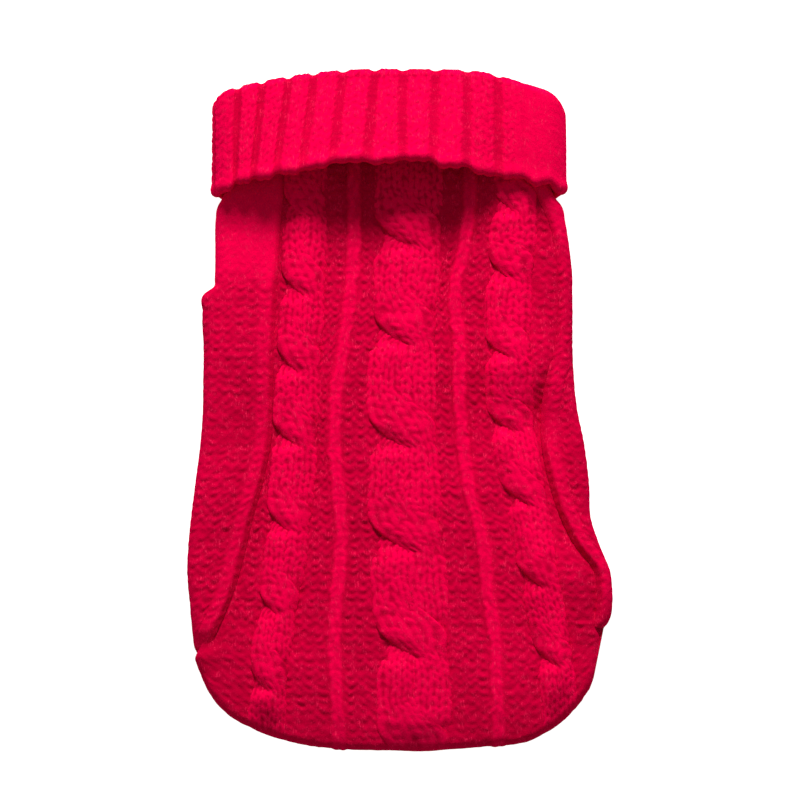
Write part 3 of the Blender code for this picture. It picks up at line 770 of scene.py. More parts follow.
@dataclass
class BackPanel:
    """The ground of the back: purl wales, two raised knit ribs and the rolled tail."""

    surface: BodySurface
    stitches: Stitches
    ridge_half: float = 3.3
    ridge_height: float = 1.2
    purl_height: float = 0.56
    knit_height: float = 0.60
    groove_depth: float = 1.3
    groove_width: float = 3.5
    seam_fade: float = 1.2          # the stitches rise from nothing over this, beside a seam
    tail_fade: Fade = (0.3, 14.0, 12.0)
    roll_fade: Fade = (0.45, 1.0, 4.0)
    least_wale: float = 3.2
    fold_painted_shade: float = 0.085        # painted shade: how much darker a trough is painted, and a ridge lighter, for each mm
    seam_lap: float = 0.35
    tail_flare: tuple[float, float] = (7.4, 4.4)    # how far it spreads below the belly's hem
    cable_cover: float = 0.66       # a cable's sides lie over the ground's stitches
    edge_strip: float = 2.5         # what is left beside a seam at least
    tail_rows: int = 120
    inside_columns: int = 11
    inside_rows: int = 28
    hem_turn: float = 9.0
    hem_narrowing: float = 24.0
    zones: tuple[Zone, ...] = (
        Zone(Face.PURL, 34, 1.4, from_right=True),
        Zone(Face.HIDDEN, 3),
        Zone(Face.PURL, 30, 2.6, from_right=True),
        Zone(Face.KNIT, 12, 1.0),
        Zone(Face.PURL, 34, 2.6),
        Zone(Face.HIDDEN, 4),
        Zone(Face.PURL, 36, 2.6, from_right=True),
        Zone(Face.KNIT, 12, 1.0),
        Zone(Face.PURL, 28, 2.6),
        Zone(Face.HIDDEN, 3),
        Zone(Face.PURL, 20, 1.6),
    )

    def lines(self, y: Array) -> Array:
        """The pattern's lines at y.

        Args:
            y: Where to read them.

        Returns:
            The x of every line from the left seam to the right one, along a new first axis.
        """
        surface = self.surface
        left, right = (surface.seam(side, y) + side.sign * (
            self.seam_lap + flare * ease((surface.belly_hem(82.0 * side.sign) + 9.0 - y) / 11.0))
            for side, flare in zip(Side, self.tail_flare))
        lines = [left]
        for name in ("left_cable", "left_rib", "centre_cable", "right_rib", "right_cable"):
            middle, half = PATTERN.at(name, y), self.ridge_half
            if name.endswith("cable"):
                half = self.cable_cover * PATTERN.at(name + "_half", y)
            lines += [middle - half, middle + half]
        lines[1] = np.maximum(lines[1], left + self.edge_strip)
        lines[-1] = np.minimum(lines[-1], right - self.edge_strip)
        return np.array([*lines, right])

    def columns(self, y: Array) -> Array:
        """The x of every column of points at y, along a new last axis."""
        lines = self.lines(y)
        found = [mix(lines[i], lines[i + 1], step / zone.steps)
                 for i, zone in enumerate(self.zones) for step in range(zone.steps)]
        return np.stack([*found, lines[-1]], axis=-1)

    def relief(self, x: Array, y: Array) -> Array:
        """The stitches' height over the plain ground, in millimetres.

        Args:
            x: Plan x of the grid's points, rows by columns.
            y: Plan y of the same points.

        Returns:
            Heights of the same shape.
        """
        row = (self.surface.top - y) / self.stitches.course
        height = np.zeros_like(x)
        start = 0
        for i, zone in enumerate(self.zones):
            stop = start + zone.steps + (i == len(self.zones) - 1)
            px, prow = x[:, start:stop], row[:, start:stop]
            left, right = self.lines(y[:, start:stop])[i:i + 2]
            if zone.face is Face.PURL:
                width = np.clip((right - left) / zone.wales, self.least_wale, self.stitches.wale)
                wale = (right - px if zone.from_right else px - left) / width
                height[:, start:stop] = self.purl_height * self.stitches.purl(wale + 5 * i, prow, i)
            elif zone.face is Face.KNIT:
                wale = np.clip((px - left) / (right - left), 0.0, 0.999)
                height[:, start:stop] = (self.ridge_height * rounded(2.0 * wale - 1.0)
                                         + self.knit_height * RIB_STITCHES.knit(wale + 5 * i, prow, i))
            start = stop
        from_seam = np.minimum(x - x[:, :1], x[:, -1:] - x)
        past = self.surface.edge(x, y)[0]
        fade = ease(from_seam / self.seam_fade) * faded(past, self.tail_fade) * faded(past, self.roll_fade)
        left, right = (self.surface.seam_depth(side, y) for side in Side)
        seam = (1.0 - ease((self.surface.belly_hem(x) + 2.0 - y) / 6.0)) * np.where(x < 0.0, left, right)
        return soften(height) * fade - seam * self.groove_depth * hump(from_seam, self.groove_width)

    def build(self, material: bpy.types.Material) -> bpy.types.Object:
        """Make the panel.

        Args:
            material: The body's wool.

        Returns:
            The panel, closed, with a plain inside.
        """
        surface = self.surface
        across = self.columns(surface.trial)
        ends = surface.end_of(across, math.pi * surface.hem_radius)
        y = surface.rows(ends, self.stitches.step, self.tail_rows)
        x = surface.on_columns(across, y)
        plain, relief = surface.place(x, y), self.relief(x, y)
        above_floor = np.clip(plain[..., 2] / 1.5, 0.0, 1.0)
        outer = plain + grid_normals(plain) * (relief * above_floor)[..., None]
        cloth = Cloth()
        # Painted shade and light: the folds' depth darkens the colour in troughs and lightens it on ridges.
        face = cloth.add_grid(outer, crown_of(relief) + self.fold_painted_shade * surface.lie(x, y))

        across_inside = across[:, np.linspace(0, x.shape[1] - 1, self.inside_columns).round().astype(int)]
        from_side = np.minimum(across_inside - across[:, :1], across[:, -1:] - across_inside)[-1]
        turn = self.hem_turn * (0.15 + 0.85 * ease(from_side / self.hem_narrowing))
        part = np.linspace(0.0, 1.0, self.inside_rows)[:, None]
        y = mix(surface.top, surface.end_of(across_inside, -turn), part)
        y = np.concatenate([y, surface.end_of(across_inside, -0.55 * turn)[None, :]])
        x = surface.on_columns(across_inside, y)
        height = surface.ground(x, y) - WALL
        height[-1] *= 1.0 - ease((surface.belly_hem(x[-1]) - 1.5 - y[-1]) / 4.0)
        inside = cloth.add_grid(np.dstack([x, y, height]))
        cloth.zip_borders(face, inside)
        return cloth.build("back_knit", material)


# --- Cables ------------------------------------------------------------------


@dataclass
class Cable:
    """A rope cable of two strands; at each crossing the left strand passes over the right one.

    The y of a crossing is that of the deep crease below the strand that passes over. Shares are
    of the repeat from one crossing to the next, and places across are in half widths of the cable.
    """

    name: str
    crossings: tuple[float, ...]
    wales: int                      # in each strand
    surface: BodySurface
    stitches: Stitches
    height: float = 3.5
    arch_power: float = 2.6
    arch_root: float = 1.05
    pinch: float = 0.10             # how much narrower it is at a crossing
    over_left: tuple[float, float] = (0.27, 0.09)       # shares above and below the crossing
    over_right: tuple[float, float] = (0.53, -0.10)
    under_left: tuple[float, float] = (0.34, 0.07)
    under_right: tuple[float, float] = (0.20, 0.10)
    sweep_power: float = 1.8
    lower_edge: float = 0.62        # how much of the passing strand its free edge rounds off
    free_drop: float = 0.66         # how far the free edge comes down, as a share of the height
    front_rise: float = 0.6         # how far the passing strand rises
    back_sink: float = 1.5          # and the other one sinks
    soft_passes: int = 7
    knit_height: float = 0.42
    points_a_wale: int = 8
    lap: float = 0.6                # how far a strand reaches over its neighbour, and how low
    lap_depth: float = 0.40
    collar_fade: Fade = (0.45, -74.0, 12.0)     # the collar presses it down
    tail_fade: Fade = (0.85, 9.0, 12.0)
    roll_fade: Fade = (0.8, 1.0, 4.0)
    tail_rows: int = 110
    underside: float = 1.6
    deepest: float = 2.3            # its underside stays inside the back's wall
    salt: int = 20

    @property
    def repeat(self) -> float:
        """Length from one crossing to the next."""
        return abs(float(np.mean(np.diff(self.crossings))))

    def travel(self, y: Array, strand: int) -> tuple[Array, Array, Array, Array]:
        """Where a strand runs.

        Args:
            y: Plan y.
            strand: 0 for the strand that is on the left above the first crossing, 1 for the other.

        Returns:
            Its left and right edges, how far its left edge stands free, from 0 to 1, and how far
            it lies over (or, below 0, under) the cable's plain back, in millimetres.
        """
        left = np.full_like(y, -1.0 if strand == 0 else 0.0)
        right = left + 1.0
        free, rise = np.zeros_like(y), np.zeros_like(y)
        for i, crossing in enumerate(self.crossings):
            past = (crossing - y) / self.repeat

            def moved(span: tuple[float, float]) -> Array:
                """How much of a move is done that starts and ends at these shares."""
                return np.clip((past + span[0]) / (span[0] + span[1]), 0.0, 1.0)

            if (i + strand) % 2 == 0:
                left = left + moved(self.over_left) ** self.sweep_power
                right = right + ease(moved(self.over_right))
                free = np.maximum(free, ease((past + 0.18) / 0.13) * ease((0.17 - past) / 0.11))
                rise = rise + self.front_rise * hump(past + 0.08, 0.13)
            else:
                left = left - ease(moved(self.under_left))
                right = right - ease(moved(self.under_right))
                rise = rise - self.back_sink * ease((past + 0.38) / 0.26) * ease((0.20 - past) / 0.16)
        return left, right, free, rise

    def plan(self, y: Array, spread: Array, strand: int) -> tuple[Array, Array, Array, Array]:
        """Where a strand's points lie.

        Args:
            y: Plan y, rows by points.
            spread: Each point's place across the strand; below 0 and above 1 it laps its neighbour.
            strand: The strand.

        Returns:
            Plan x, the place across the cable, how far the left edge stands free, and the rise.
        """
        left, right, free, rise = self.travel(y, strand)
        near = sum(hump((crossing - y) / self.repeat + 0.02, 0.17) for crossing in self.crossings)
        half = PATTERN.at(self.name + "_half", y) * (1.03 - self.pinch * near)
        inside = np.clip(spread, 0.0, 1.0)
        s = left + inside * (right - left) + self.lap / half * np.sign(spread - inside)
        return PATTERN.at(self.name, y) + s * half, s, free, rise

    def build(self, material: bpy.types.Material) -> bpy.types.Object:
        """Make both strands as one piece.

        Args:
            material: The body's wool.

        Returns:
            The cable.
        """
        cloth = Cloth()
        for strand in (0, 1):
            self.add_strand(cloth, strand)
        return cloth.build(f"{self.name}_knit", material)

    def body_lift(self, s: Array, inside: Array, free: Array) -> Array:
        """How high a strand's rounded body stands over the back.

        Args:
            s: Each point's place across the cable.
            inside: And across the strand, from 0 to 1.
            free: How far the left edge stands free.

        Returns:
            Heights in millimetres, rows by points.
        """
        width = (s[:, -2] - s[:, 1])[:, None]
        lift = np.clip(1.0 - np.abs(s) ** self.arch_power, 0.0, 1.0) ** self.arch_root * self.height
        from_left = np.clip(inside * width / self.lower_edge, 0.0, 1.0)
        from_right = np.clip((1.0 - inside) * width / 0.4, 0.0, 1.0)
        left_drop = self.free_drop * free * (1.0 - from_left) ** 1.7
        right_drop = 0.25 * free * (1.0 - np.sqrt(1.0 - (1.0 - from_right) ** 2.0))
        return lift * (1.0 - left_drop) * (1.0 - right_drop)

    def add_strand(self, cloth: Cloth, strand: int) -> None:
        """Add one strand: a rounded band of knit with a plain underside.

        Args:
            cloth: The cable's cloth.
            strand: The strand, 0 or 1.
        """
        surface, stitches = self.surface, self.stitches
        count = self.wales * self.points_a_wale
        spread = np.concatenate([[-0.1], np.linspace(0.0, 1.0, count + 1), [1.1]])
        inside = np.clip(spread, 0.0, 1.0)
        trials = np.repeat(surface.trial[:, None], len(spread), axis=1)
        ends = surface.end_of(self.plan(trials, spread, strand)[0], 0.7 * math.pi * surface.hem_radius)
        y = surface.rows(ends, stitches.step, self.tail_rows)
        x, s, free, rise = self.plan(y, spread, strand)
        past = surface.edge(x, y)[0]

        lift = self.body_lift(s, inside, free) + rise
        lift = soften(lift * faded(y, self.collar_fade), self.soft_passes)
        lift = (lift - np.where(spread == inside, 0.0, self.lap_depth)) * faded(past, self.tail_fade)
        plain = surface.place(x, y)
        normal = grid_normals(plain)
        body = plain + normal * lift[..., None]

        sweep = np.clip(-np.gradient(x, axis=0) / np.gradient(y, axis=0), -2.0, 2.0)
        from_middle = x - x.mean(axis=1, keepdims=True)
        row = (surface.top - y + sweep / (1.0 + sweep ** 2) * from_middle) / stitches.course
        wale = np.clip(inside * self.wales, 0.0, self.wales - 1e-4) + np.zeros_like(y)
        relief = soften(self.knit_height * stitches.knit(wale, row, self.salt + strand))
        relief = relief * faded(past, self.roll_fade)
        relief[:, [0, -1]] = 0.0
        outer = body + grid_normals(body) * relief[..., None]

        deep = np.maximum(np.minimum(lift, 0.4) - self.underside, -self.deepest)
        sides = (plain + normal * deep[..., None])[:, [-1, count // 2, 0]]
        # Painted shade: the knit relief is the crown, so the stitches' creases are painted darker, and the
        # plain underside fully deep.
        crown = np.concatenate([relief / self.knit_height, np.zeros((len(y), 3))], axis=1)
        cloth.add_tube(np.concatenate([outer, sides], axis=1), crown, capped=True)


# --- Belly panel -------------------------------------------------------------


@dataclass
class BellyPanel:
    """The plain cloth that wraps round both sides and lies underneath."""

    surface: BodySurface
    stitches: Stitches
    ridge_centre: float = 4.2
    ridge_half: float = 3.3
    ridge_height: float = 0.95
    purl_height: float = 0.58
    knit_height: float = 0.50
    seam_lap: float = 0.35
    seam_dive: float = 0.95
    # Pairs are for the left side and the right one.
    hem_tuck: tuple[float, float] = (0.0, 0.9)
    hem_sink: tuple[float, float] = (2.1, 0.0)      # how far its upper end sinks under the tail
    calm_start: tuple[float, float] = (44.0, 64.0)  # above it the stitches lie flatter
    calm_length: float = 17.0
    # painted light: how much lighter the calm cloth near the collar is painted
    calm_painted_light: float = 0.5
    under_depth: float = 0.25       # how deep the underside's stitches are
    hem_dive: float = 0.6
    ridge_steps: int = 14
    top_steps: int = 26
    round_steps: int = 20
    under_steps: int = 60
    inside_rows: int = 30
    salt: int = 40
    leg_half: tuple[float, float] = (21.8, 25.8)
    leg_corners: int = 40

    def side_points(self, y: Array, s: Array, side: Side, radius: float) -> Array:
        """Points along the cloth from a seam, over the body's round side to its underside.

        Args:
            y: The y of every row.
            s: Distances along the cloth from the seam, rows by points.
            side: The side.
            radius: Distance from the body's middle line.

        Returns:
            The points, rows by points by 3.
        """
        y = np.repeat(y[:, None], s.shape[1], axis=1)
        seam = self.surface.seam(side, y) - side.sign * self.seam_lap
        near_hem = ease((self.surface.belly_hem(seam) + 9.0 - y) / 9.0)
        tuck = self.hem_tuck[side.index] * near_hem ** 2
        turn = BODY.at(side.value + "_side", y) - side.sign * (self.surface.radius + tuck)
        flat = np.maximum(np.abs(turn - seam), 0.4)
        angle = np.clip((s - flat) / self.surface.radius, 0.0, math.pi)
        x = np.where(s < flat, seam + side.sign * np.minimum(s, flat), turn)
        x = x + side.sign * np.sin(angle) * radius
        lie = self.surface.lie(x, y) - self.hem_sink[side.index] * near_hem
        z = self.surface.middle(y) + np.cos(angle) * radius + np.clip(np.cos(angle), 0.0, 1.0) * lie
        return np.dstack([x, y, z])

    def spans(self, y: Array, side: Side) -> tuple[Array, Array]:
        """How far the cloth's parts reach.

        Args:
            y: The y of every row.
            side: The side.

        Returns:
            The distances from the seam to where the flat part ends and to where the round side does.
        """
        turn = BODY.at(side.value + "_side", y) - side.sign * self.surface.radius
        flat = np.maximum(np.abs(turn - self.surface.seam(side, y)), 0.4)
        return flat, flat + math.pi * self.surface.radius

    def side_grid(self, y: Array, side: Side) -> tuple[Array, Array, Array]:
        """The outer side from a seam to where the underside starts.

        Args:
            y: The y of every row.
            side: The side.

        Returns:
            The plain points, the relief, and how calm the stitches are, from 0 to 1; the calm cloth is also
            where light is painted on.
        """
        surface = self.surface
        flat, end = self.spans(y, side)
        ridge_end = self.ridge_centre + self.ridge_half
        s = divided((0.0 * end, 0.0 * end + ridge_end, np.maximum(flat, ridge_end + 0.8), end),
                    (self.ridge_steps, self.top_steps, self.round_steps))
        plain = self.side_points(y, s, side, surface.radius)
        rows_y = plain[..., 1]
        row = (surface.top - rows_y) / self.stitches.course
        salt = self.salt + 3 * side.index
        purl = self.purl_height * self.stitches.purl((s - ridge_end) / self.stitches.wale + 40, row, salt)
        across = (s - self.ridge_centre) / (2.0 * self.ridge_half) + 0.5
        knit = self.knit_height * RIB_STITCHES.knit(np.clip(across, 0.001, 0.999), row, salt + 1)
        near_collar = ease((rows_y - self.calm_start[side.index]) / self.calm_length)
        depth = surface.seam_depth(side, rows_y)
        lip = np.minimum(depth, 1.0)
        ridge = self.ridge_height * (0.1 + 0.6 * lip) * rounded(2.0 * across - 1.0)
        ridge = ridge + 0.5 * lip * knit + (1.0 - 0.35 * lip) * purl
        relief = np.where(np.abs(2.0 * across - 1.0) < 1.0, ridge, purl)
        relief = soften(relief) * (1.0 - 0.7 * near_collar)
        relief = relief * ease(s) - depth * self.seam_dive * hump(s, 1.5)
        height = np.clip((plain[..., 2] - surface.middle(y)[:, None]) / surface.radius, -1.0, 1.0)
        from_hem = rows_y - rows_y[-1:]
        relief = relief * (0.25 + 0.75 * height ** 2) * (0.35 + 0.65 * ease(from_hem / 16.0))
        under = ease(-height)
        relief = (relief - self.hem_dive * hump(from_hem, 1.3)) * (1.0 - under)
        relief = relief - under * self.under_depth * (1.0 - purl)
        return plain, relief, near_collar * (1.0 - under)

    def build(self, material: bpy.types.Material) -> bpy.types.Object:
        """Make the panel with its two leg openings cut through the underside.

        Args:
            material: The body's wool.

        Returns:
            The panel.
        """
        surface = self.surface
        ends = [surface.belly_hem(BODY.at(side.value + "_side", surface.belly_hem_y)) for side in Side]
        count = int((surface.top - ends[0]) / self.stitches.step)
        part = np.arange(count + 1) / count
        left_y, right_y = (mix(surface.top, end, part) for end in ends)
        left, left_relief, left_calm = self.side_grid(left_y, Side.LEFT)
        right, right_relief, right_calm = self.side_grid(right_y, Side.RIGHT)
        share = np.arange(1, self.under_steps) / self.under_steps
        x, y = between(left[:, -1, 0], right[:, -1, 0], share), between(left_y, right_y, share)
        row = (surface.top - y) / self.stitches.course
        under_relief = self.stitches.purl(x / self.stitches.wale + 60, row, self.salt + 6) - 1.0
        under = np.dstack([x, y, surface.middle(y) - surface.radius])
        plain = np.concatenate([left, under, right[:, ::-1]], axis=1)
        relief = np.concatenate([left_relief, self.under_depth * under_relief, right_relief[:, ::-1]], axis=1)
        calm = np.concatenate([left_calm, 0.0 * under_relief, right_calm[:, ::-1]], axis=1)
        normal = grid_normals(plain)
        outward = np.sign(normal[len(normal) // 2, 3, 2])
        outer = plain + normal * (outward * relief)[..., None]
        cloth = Cloth()
        # Painted shade in the stitches' creases, and painted light on the calm cloth near the collar.
        face = cloth.add_grid(outer, crown_of(relief) + self.calm_painted_light * calm)

        rows = np.linspace(0, count, self.inside_rows).round().astype(int)
        inner = []
        for side, side_y in zip(Side, (left_y[rows], right_y[rows])):
            flat, end = self.spans(side_y, side)
            s = divided((0.0 * end, flat, end), (2, 4))
            inner.append(self.side_points(side_y, s, side, surface.radius - WALL))
        share = np.array([0.2, 0.4, 0.6, 0.8])
        x = between(inner[0][:, -1, 0], inner[1][:, -1, 0], share)
        y = between(left_y[rows], right_y[rows], share)
        floor = np.dstack([x, y, surface.middle(y) - surface.radius + WALL])
        inside = cloth.add_grid(np.concatenate([inner[0], floor, inner[1][:, ::-1]], axis=1))
        self._close(cloth, face, inside, rows)
        panel = cloth.build("belly_knit", material)
        self._cut_legs(panel)
        return panel

    @staticmethod
    def _close(cloth: Cloth, face: Array, inside: Array, rows: Array) -> None:
        """Join the outer grid's border to the inner one's.

        Args:
            cloth: The panel's cloth.
            face: Indices of the outer grid.
            inside: Indices of the inner one.
            rows: For each row of the inner grid, the outer grid's row that it lies under.
        """
        for side in (0, -1):
            for i, (start, stop) in enumerate(zip(rows, rows[1:])):
                line = face[start:stop + 1, side]
                cloth.triangles += [(a, b, inside[i, side]) for a, b in zip(line, line[1:])]
                cloth.triangles.append((line[-1], inside[i + 1, side], inside[i, side]))
        points = np.concatenate(cloth.points)

        def along(line: Array) -> Array:
            """How far along a line each of its points lies, from 0 to 1."""
            steps = np.linalg.norm(np.diff(points[line], axis=0), axis=1)
            return np.concatenate([[0.0], np.cumsum(steps) / steps.sum()])

        for edge in (0, -1):
            cloth.zip_lines(face[edge], inside[edge], along(face[edge]), along(inside[edge]))

    def _cut_legs(self, panel: bpy.types.Object) -> None:
        """Cut both leg openings with oval prisms.

        Args:
            panel: The panel, whose mesh is replaced by the outcome.
        """
        angles = np.arange(self.leg_corners) * 2.0 * math.pi / self.leg_corners
        for x, y in LEG_CENTRES.values():
            ring = [self.leg_half[0] * np.cos(angles) + x, self.leg_half[1] * np.sin(angles) + y]
            cutter = Cloth()
            cutter.add_tube(np.array([np.column_stack([*ring, np.full(self.leg_corners, z)])
                                      for z in (0.0, WALL + 0.6)]), capped=True)
            tool = cutter.build("leg_cutter", panel.active_material)
            tool.location.z = -0.002
            tool.scale.z = 1.6
            cut = panel.modifiers.new("Leg opening", "BOOLEAN")
            cut.operation = "DIFFERENCE"
            cut.object = tool
            bpy.context.view_layer.update()
            done = bpy.data.meshes.new_from_object(panel.evaluated_get(bpy.context.evaluated_depsgraph_get()))
            panel.modifiers.clear()
            panel.data = done
            bpy.data.objects.remove(tool)
        panel.data.name = panel.name


# --- Leg bands ---------------------------------------------------------------


@dataclass
class LegBand:
    """The knitted rib band that lines a leg opening."""

    name: str
    centre: tuple[float, float]
    half: tuple[float, float] = (15.0, 19.0)
    width: float = 6.5
    ribs: int = 24
    points_a_rib: int = 8

    def build(self, material: bpy.types.Material) -> bpy.types.Object:
        """Make the band.

        Args:
            material: The ribs' wool.

        Returns:
            The band, a closed ring with ribs on its visible faces.
        """
        count = self.ribs * self.points_a_rib
        angles = np.arange(count) * 2.0 * math.pi / count
        rib = 0.5 - 0.5 * np.cos(angles * self.ribs)
        # The section's points: distance from the opening, height, and how far a rib stands out there.
        section = [(0.5, 0.0, 0.0), (2.0, 0.0, 0.3), (4.2, 0.0, 0.3), (self.width, 0.0, 0.0),
                   (self.width, WALL, 0.0), (4.6, WALL, 0.4), (2.4, WALL, 0.4), (1.0, WALL, 0.3),
                   (0.2, WALL - 0.8, 0.0), (0.0, WALL / 2, 0.0), (0.1, 0.6, 0.0)]
        rings = []
        for grow, z, swell in section:
            side = grow - 0.45 * rib * (grow < 0.6)
            rings.append(np.stack([(self.half[0] + side) * np.cos(angles) + self.centre[0],
                                   (self.half[1] + side) * np.sin(angles) + self.centre[1],
                                   np.maximum(z + swell * (rib - 1.0) * np.sign(z - 1.0), 0.0)], axis=1))
        cloth = Cloth()
        # Painted shade: the rib pattern is the crown, so the gutters between the ribs are painted darker.
        cloth.add_tube(np.array(rings), np.repeat(rib[None, :], len(rings), axis=0))
        return cloth.build(self.name, material)


# --- Collar ------------------------------------------------------------------


@dataclass
class Collar:
    """The turtleneck: a tube of two by two rib, turned down once over itself."""

    stitches: Stitches
    centre_x: float = -4.4
    centre_z: float = 8.0
    flat_half: float = 62.8
    flap_outer: float = 8.0
    flap_inner: float = 4.6
    stand_outer: float = 4.2
    stand_inner: float = 1.0
    fold_y: float = 136.9
    fold_fall_left: float = 0.0020      # the fold falls off to both sides of a level middle
    fold_fall_right: float = 0.16       # to the right it falls off straight, after a soft bend
    fold_level: tuple[float, float] = (-8.0, 35.0)
    fold_bend: float = 6.0
    fold_corner_drop: float = 3.4
    edge_y: float = 100.2
    edge_sag: float = 0.0019
    edge_sag_centre: float = -3.0
    under_edge_y: float = 88.4
    flap_lift_edge: float = 12.5
    fold_lift: float = 4.5
    mouth_lift: float = 0.3
    crown: float = 0.80
    gutter_left: float = 1.55       # depth of the gutters at the left end and at the right one
    gutter_right: float = 1.15
    gutter_half: float = 0.025      # shares of a rib's width
    shoulder: float = 0.24
    gutter_painted_shade: tuple[float, float] = (0.95, 0.62)    # how much painted shade darkens them, left and right
    gutter_stop: float = 51.0       # past it, at the right end, there are none
    lip: float = 0.65
    lip_width: float = 0.075
    end_press: float = 0.9          # the flap lies closer at both ends
    right_press: float = 0.6        # and its free edge closest at the right one
    right_start: float = 28.0
    right_length: float = 16.0
    fold_gutter: float = 0.70       # how much of a gutter is left on the fold
    edge_scallop: float = 1.2
    edge_ragged: float = 1.0
    ragged_length: float = 5.5
    edge_round: float = 2.6
    lift_skew: float = 0.66         # how much less the flap stands off at its right end
    knit_height: float = 0.34
    purl_height: float = 0.30
    points_a_rib: int = 18
    flap_rows: int = 11
    fold_rows: int = 3
    stand_rows: int = 9
    round_rib: float = 12.6
    salt: int = 60
    # The gutters between the ribs over the back: x at the fold and at the free edge.
    gutters: tuple[tuple[float, float], ...] = (
        (-65.2, -66.6), (-55.6, -59.0), (-44.8, -49.6), (-34.8, -39.2), (-22.8, -27.2), (-10.0, -13.2),
        (1.2, 1.2), (14.4, 13.2), (27.2, 27.2), (39.6, 40.0), (50.8, 51.2),
    )

    def stations(self) -> dict[str, Array]:
        """The ring's lines: over the back, round the right end, underneath, round the left end.

        Returns:
            For every line: base_fold and base_edge, its place from the ring's centre; angle, the
            way it faces in degrees; and part, its place across its rib from 0 to 1.
        """
        parts = np.arange(self.points_a_rib) / self.points_a_rib
        lines = [(mix(one[0], other[0], p) - self.centre_x, mix(one[1], other[1], p) - self.centre_x, 90.0, p)
                 for one, other in zip(self.gutters, self.gutters[1:]) for p in parts]
        first, last = self.gutters[0][0] - self.centre_x, self.gutters[-1][0] - self.centre_x
        length = 4.0 * self.flat_half - last + first + 2.0 * math.pi * self.flap_outer
        ribs = round(length / self.round_rib)
        lines += [(*self._around(length * (k + p) / ribs, last), p) for k in range(ribs) for p in parts]
        return dict(zip(("fold", "edge", "angle", "part"), np.array(lines).T))

    def _around(self, along: float, start: float) -> tuple[float, float, float]:
        """Find a line past the last gutter.

        Args:
            along: Its distance round the ring from the last gutter.
            start: The last gutter's place from the ring's centre.

        Returns:
            The line's place at the fold and at the edge, and its facing in degrees.
        """
        flat, turn = self.flat_half, math.pi * self.flap_outer
        lean = self.gutters[-1][1] - self.gutters[-1][0]
        if along < flat - start:
            return start + along, min(start + along + lean, flat), 90.0
        along -= flat - start
        if along < turn:
            return flat, flat, 90.0 - 180.0 * along / turn
        along -= turn
        if along < 2 * flat:
            return flat - along, flat - along, -90.0
        along -= 2 * flat
        if along < turn:
            return -flat, -flat, -90.0 - 180.0 * along / turn
        along -= turn
        return -flat + along, -flat + along * 0.4, 90.0

    def section(self, s: dict[str, Array]) -> tuple[Array, Array]:
        """The cloth's closed section along every station.

        Args:
            s: The stations.

        Returns:
            Points, stations by section points by 3, and how far each stands out, 0 to 1.
        """
        facing = np.radians(s["angle"])
        nx, nz = np.cos(facing), np.sin(facing)
        above = np.clip(nz, 0.0, 1.0)
        from_side = np.minimum(s["part"], 1.0 - s["part"])
        gutter = 1.0 - ease((from_side - self.gutter_half) / self.shoulder) ** 0.8
        gutter = gutter * (1.0 - ease((s["edge"] - self.gutter_stop) / 6.0))
        resting = np.clip(nz * 1.8 + 1.0, 0.0, 1.0)
        gutter_depth = mix(self.gutter_left, self.gutter_right, ease((s["edge"] + 55.0) / 80.0))
        swell = (self.crown - gutter_depth * gutter) * resting - (1.0 - resting) * 0.5 * gutter
        wale = np.clip((s["part"] - 0.12) / 0.76, 0.0, 0.9999) * 2.0
        in_rib = ease((0.9 - gutter) / 0.75)
        edge_bump = np.abs(np.sin(math.pi * wale)) * in_rib

        fold_x = self.centre_x + s["fold"] + nx * self.flap_outer
        past_bend = fold_x - self.fold_level[1]
        bend = (self.flap_outer - self.stand_inner) / 2.0
        high = (self.fold_y - self.fold_fall_left * np.minimum(fold_x - self.fold_level[0], 0.0) ** 2
                - self.fold_fall_right * (past_bend + np.hypot(past_bend, self.fold_bend))
                - nx ** 4 * self.fold_corner_drop * np.where(nx < 0.0, 0.3, 1.0) - bend)
        edge_x = self.centre_x + s["edge"] + nx * self.flap_outer
        middles = edge_x.reshape(-1, self.points_a_rib).mean(axis=1).repeat(self.points_a_rib)
        level = mix(edge_x, middles, ease(from_side / 0.24))
        over = self.edge_y - self.edge_sag * (level - self.edge_sag_centre) ** 2
        ragged = Unevenness(self.salt).at(edge_x / self.ragged_length, np.zeros_like(edge_x))
        ragged = self.edge_ragged * ragged + self.edge_scallop * 0.5 * (1.0 - gutter + edge_bump)
        low = mix(self.under_edge_y, over, ease(nz + 1.0)) - ragged * resting

        at_right = ease((s["edge"] - self.right_start) / self.right_length)
        # Painted shade: the gutters between the ribs are painted darker, more at the left end.
        painted_shade_factor = 1.0 - gutter * mix(*self.gutter_painted_shade, ease((s["edge"] + 40.0) / 60.0))
        calm = 1.0 - 0.75 * ease((s["edge"] - self.gutter_stop + 4.0) / 7.0)
        stitch_wale = wale + 2.0 * np.floor(np.arange(len(wale)) / self.points_a_rib)
        rows: list[tuple[Array, Array]] = []

        def outward(base: Array) -> Array:
            """Where a place from the ring's centre lies between its ends, from -1 to 1."""
            return (base + nx * self.flap_outer) / (self.flat_half + self.flap_outer)

        def pressed(along: float) -> Array:
            """How much closer the flap lies at this share of the way from its edge to the fold."""
            near = self.end_press * outward(s["edge"]) ** 4 * (1.0 - along) ** 1.5
            return (near + self.right_press * at_right * (1.0 - along) ** 3) * above

        def stitch(row: float) -> Array:
            """Height of the stitches round the ring.

            Args:
                row: The row.

            Returns:
                One height a station.
            """
            rows_here = np.full_like(wale, row)
            knit = self.stitches.knit(stitch_wale, rows_here, self.salt)
            purl = self.stitches.purl(stitch_wale + 0.25, rows_here, self.salt + 3) * self.purl_height
            return 0.5 + (knit * in_rib + purl * (1.0 - in_rib) - 0.5) * calm

        def flap(along: float) -> tuple[float, Array]:
            """The flap's lift and y at this share of the way from its edge to the fold."""
            return mix(self.fold_lift, self.flap_lift_edge, (1.0 - along) ** 1.1), mix(low, high, along)

        def stand(along: float) -> tuple[float, Array]:
            """The stand's lift and y at this share of the way from the neck seam to the fold."""
            return mix(self.mouth_lift, self.fold_lift, along ** 1.3), mix(NECK_Y, high, along)

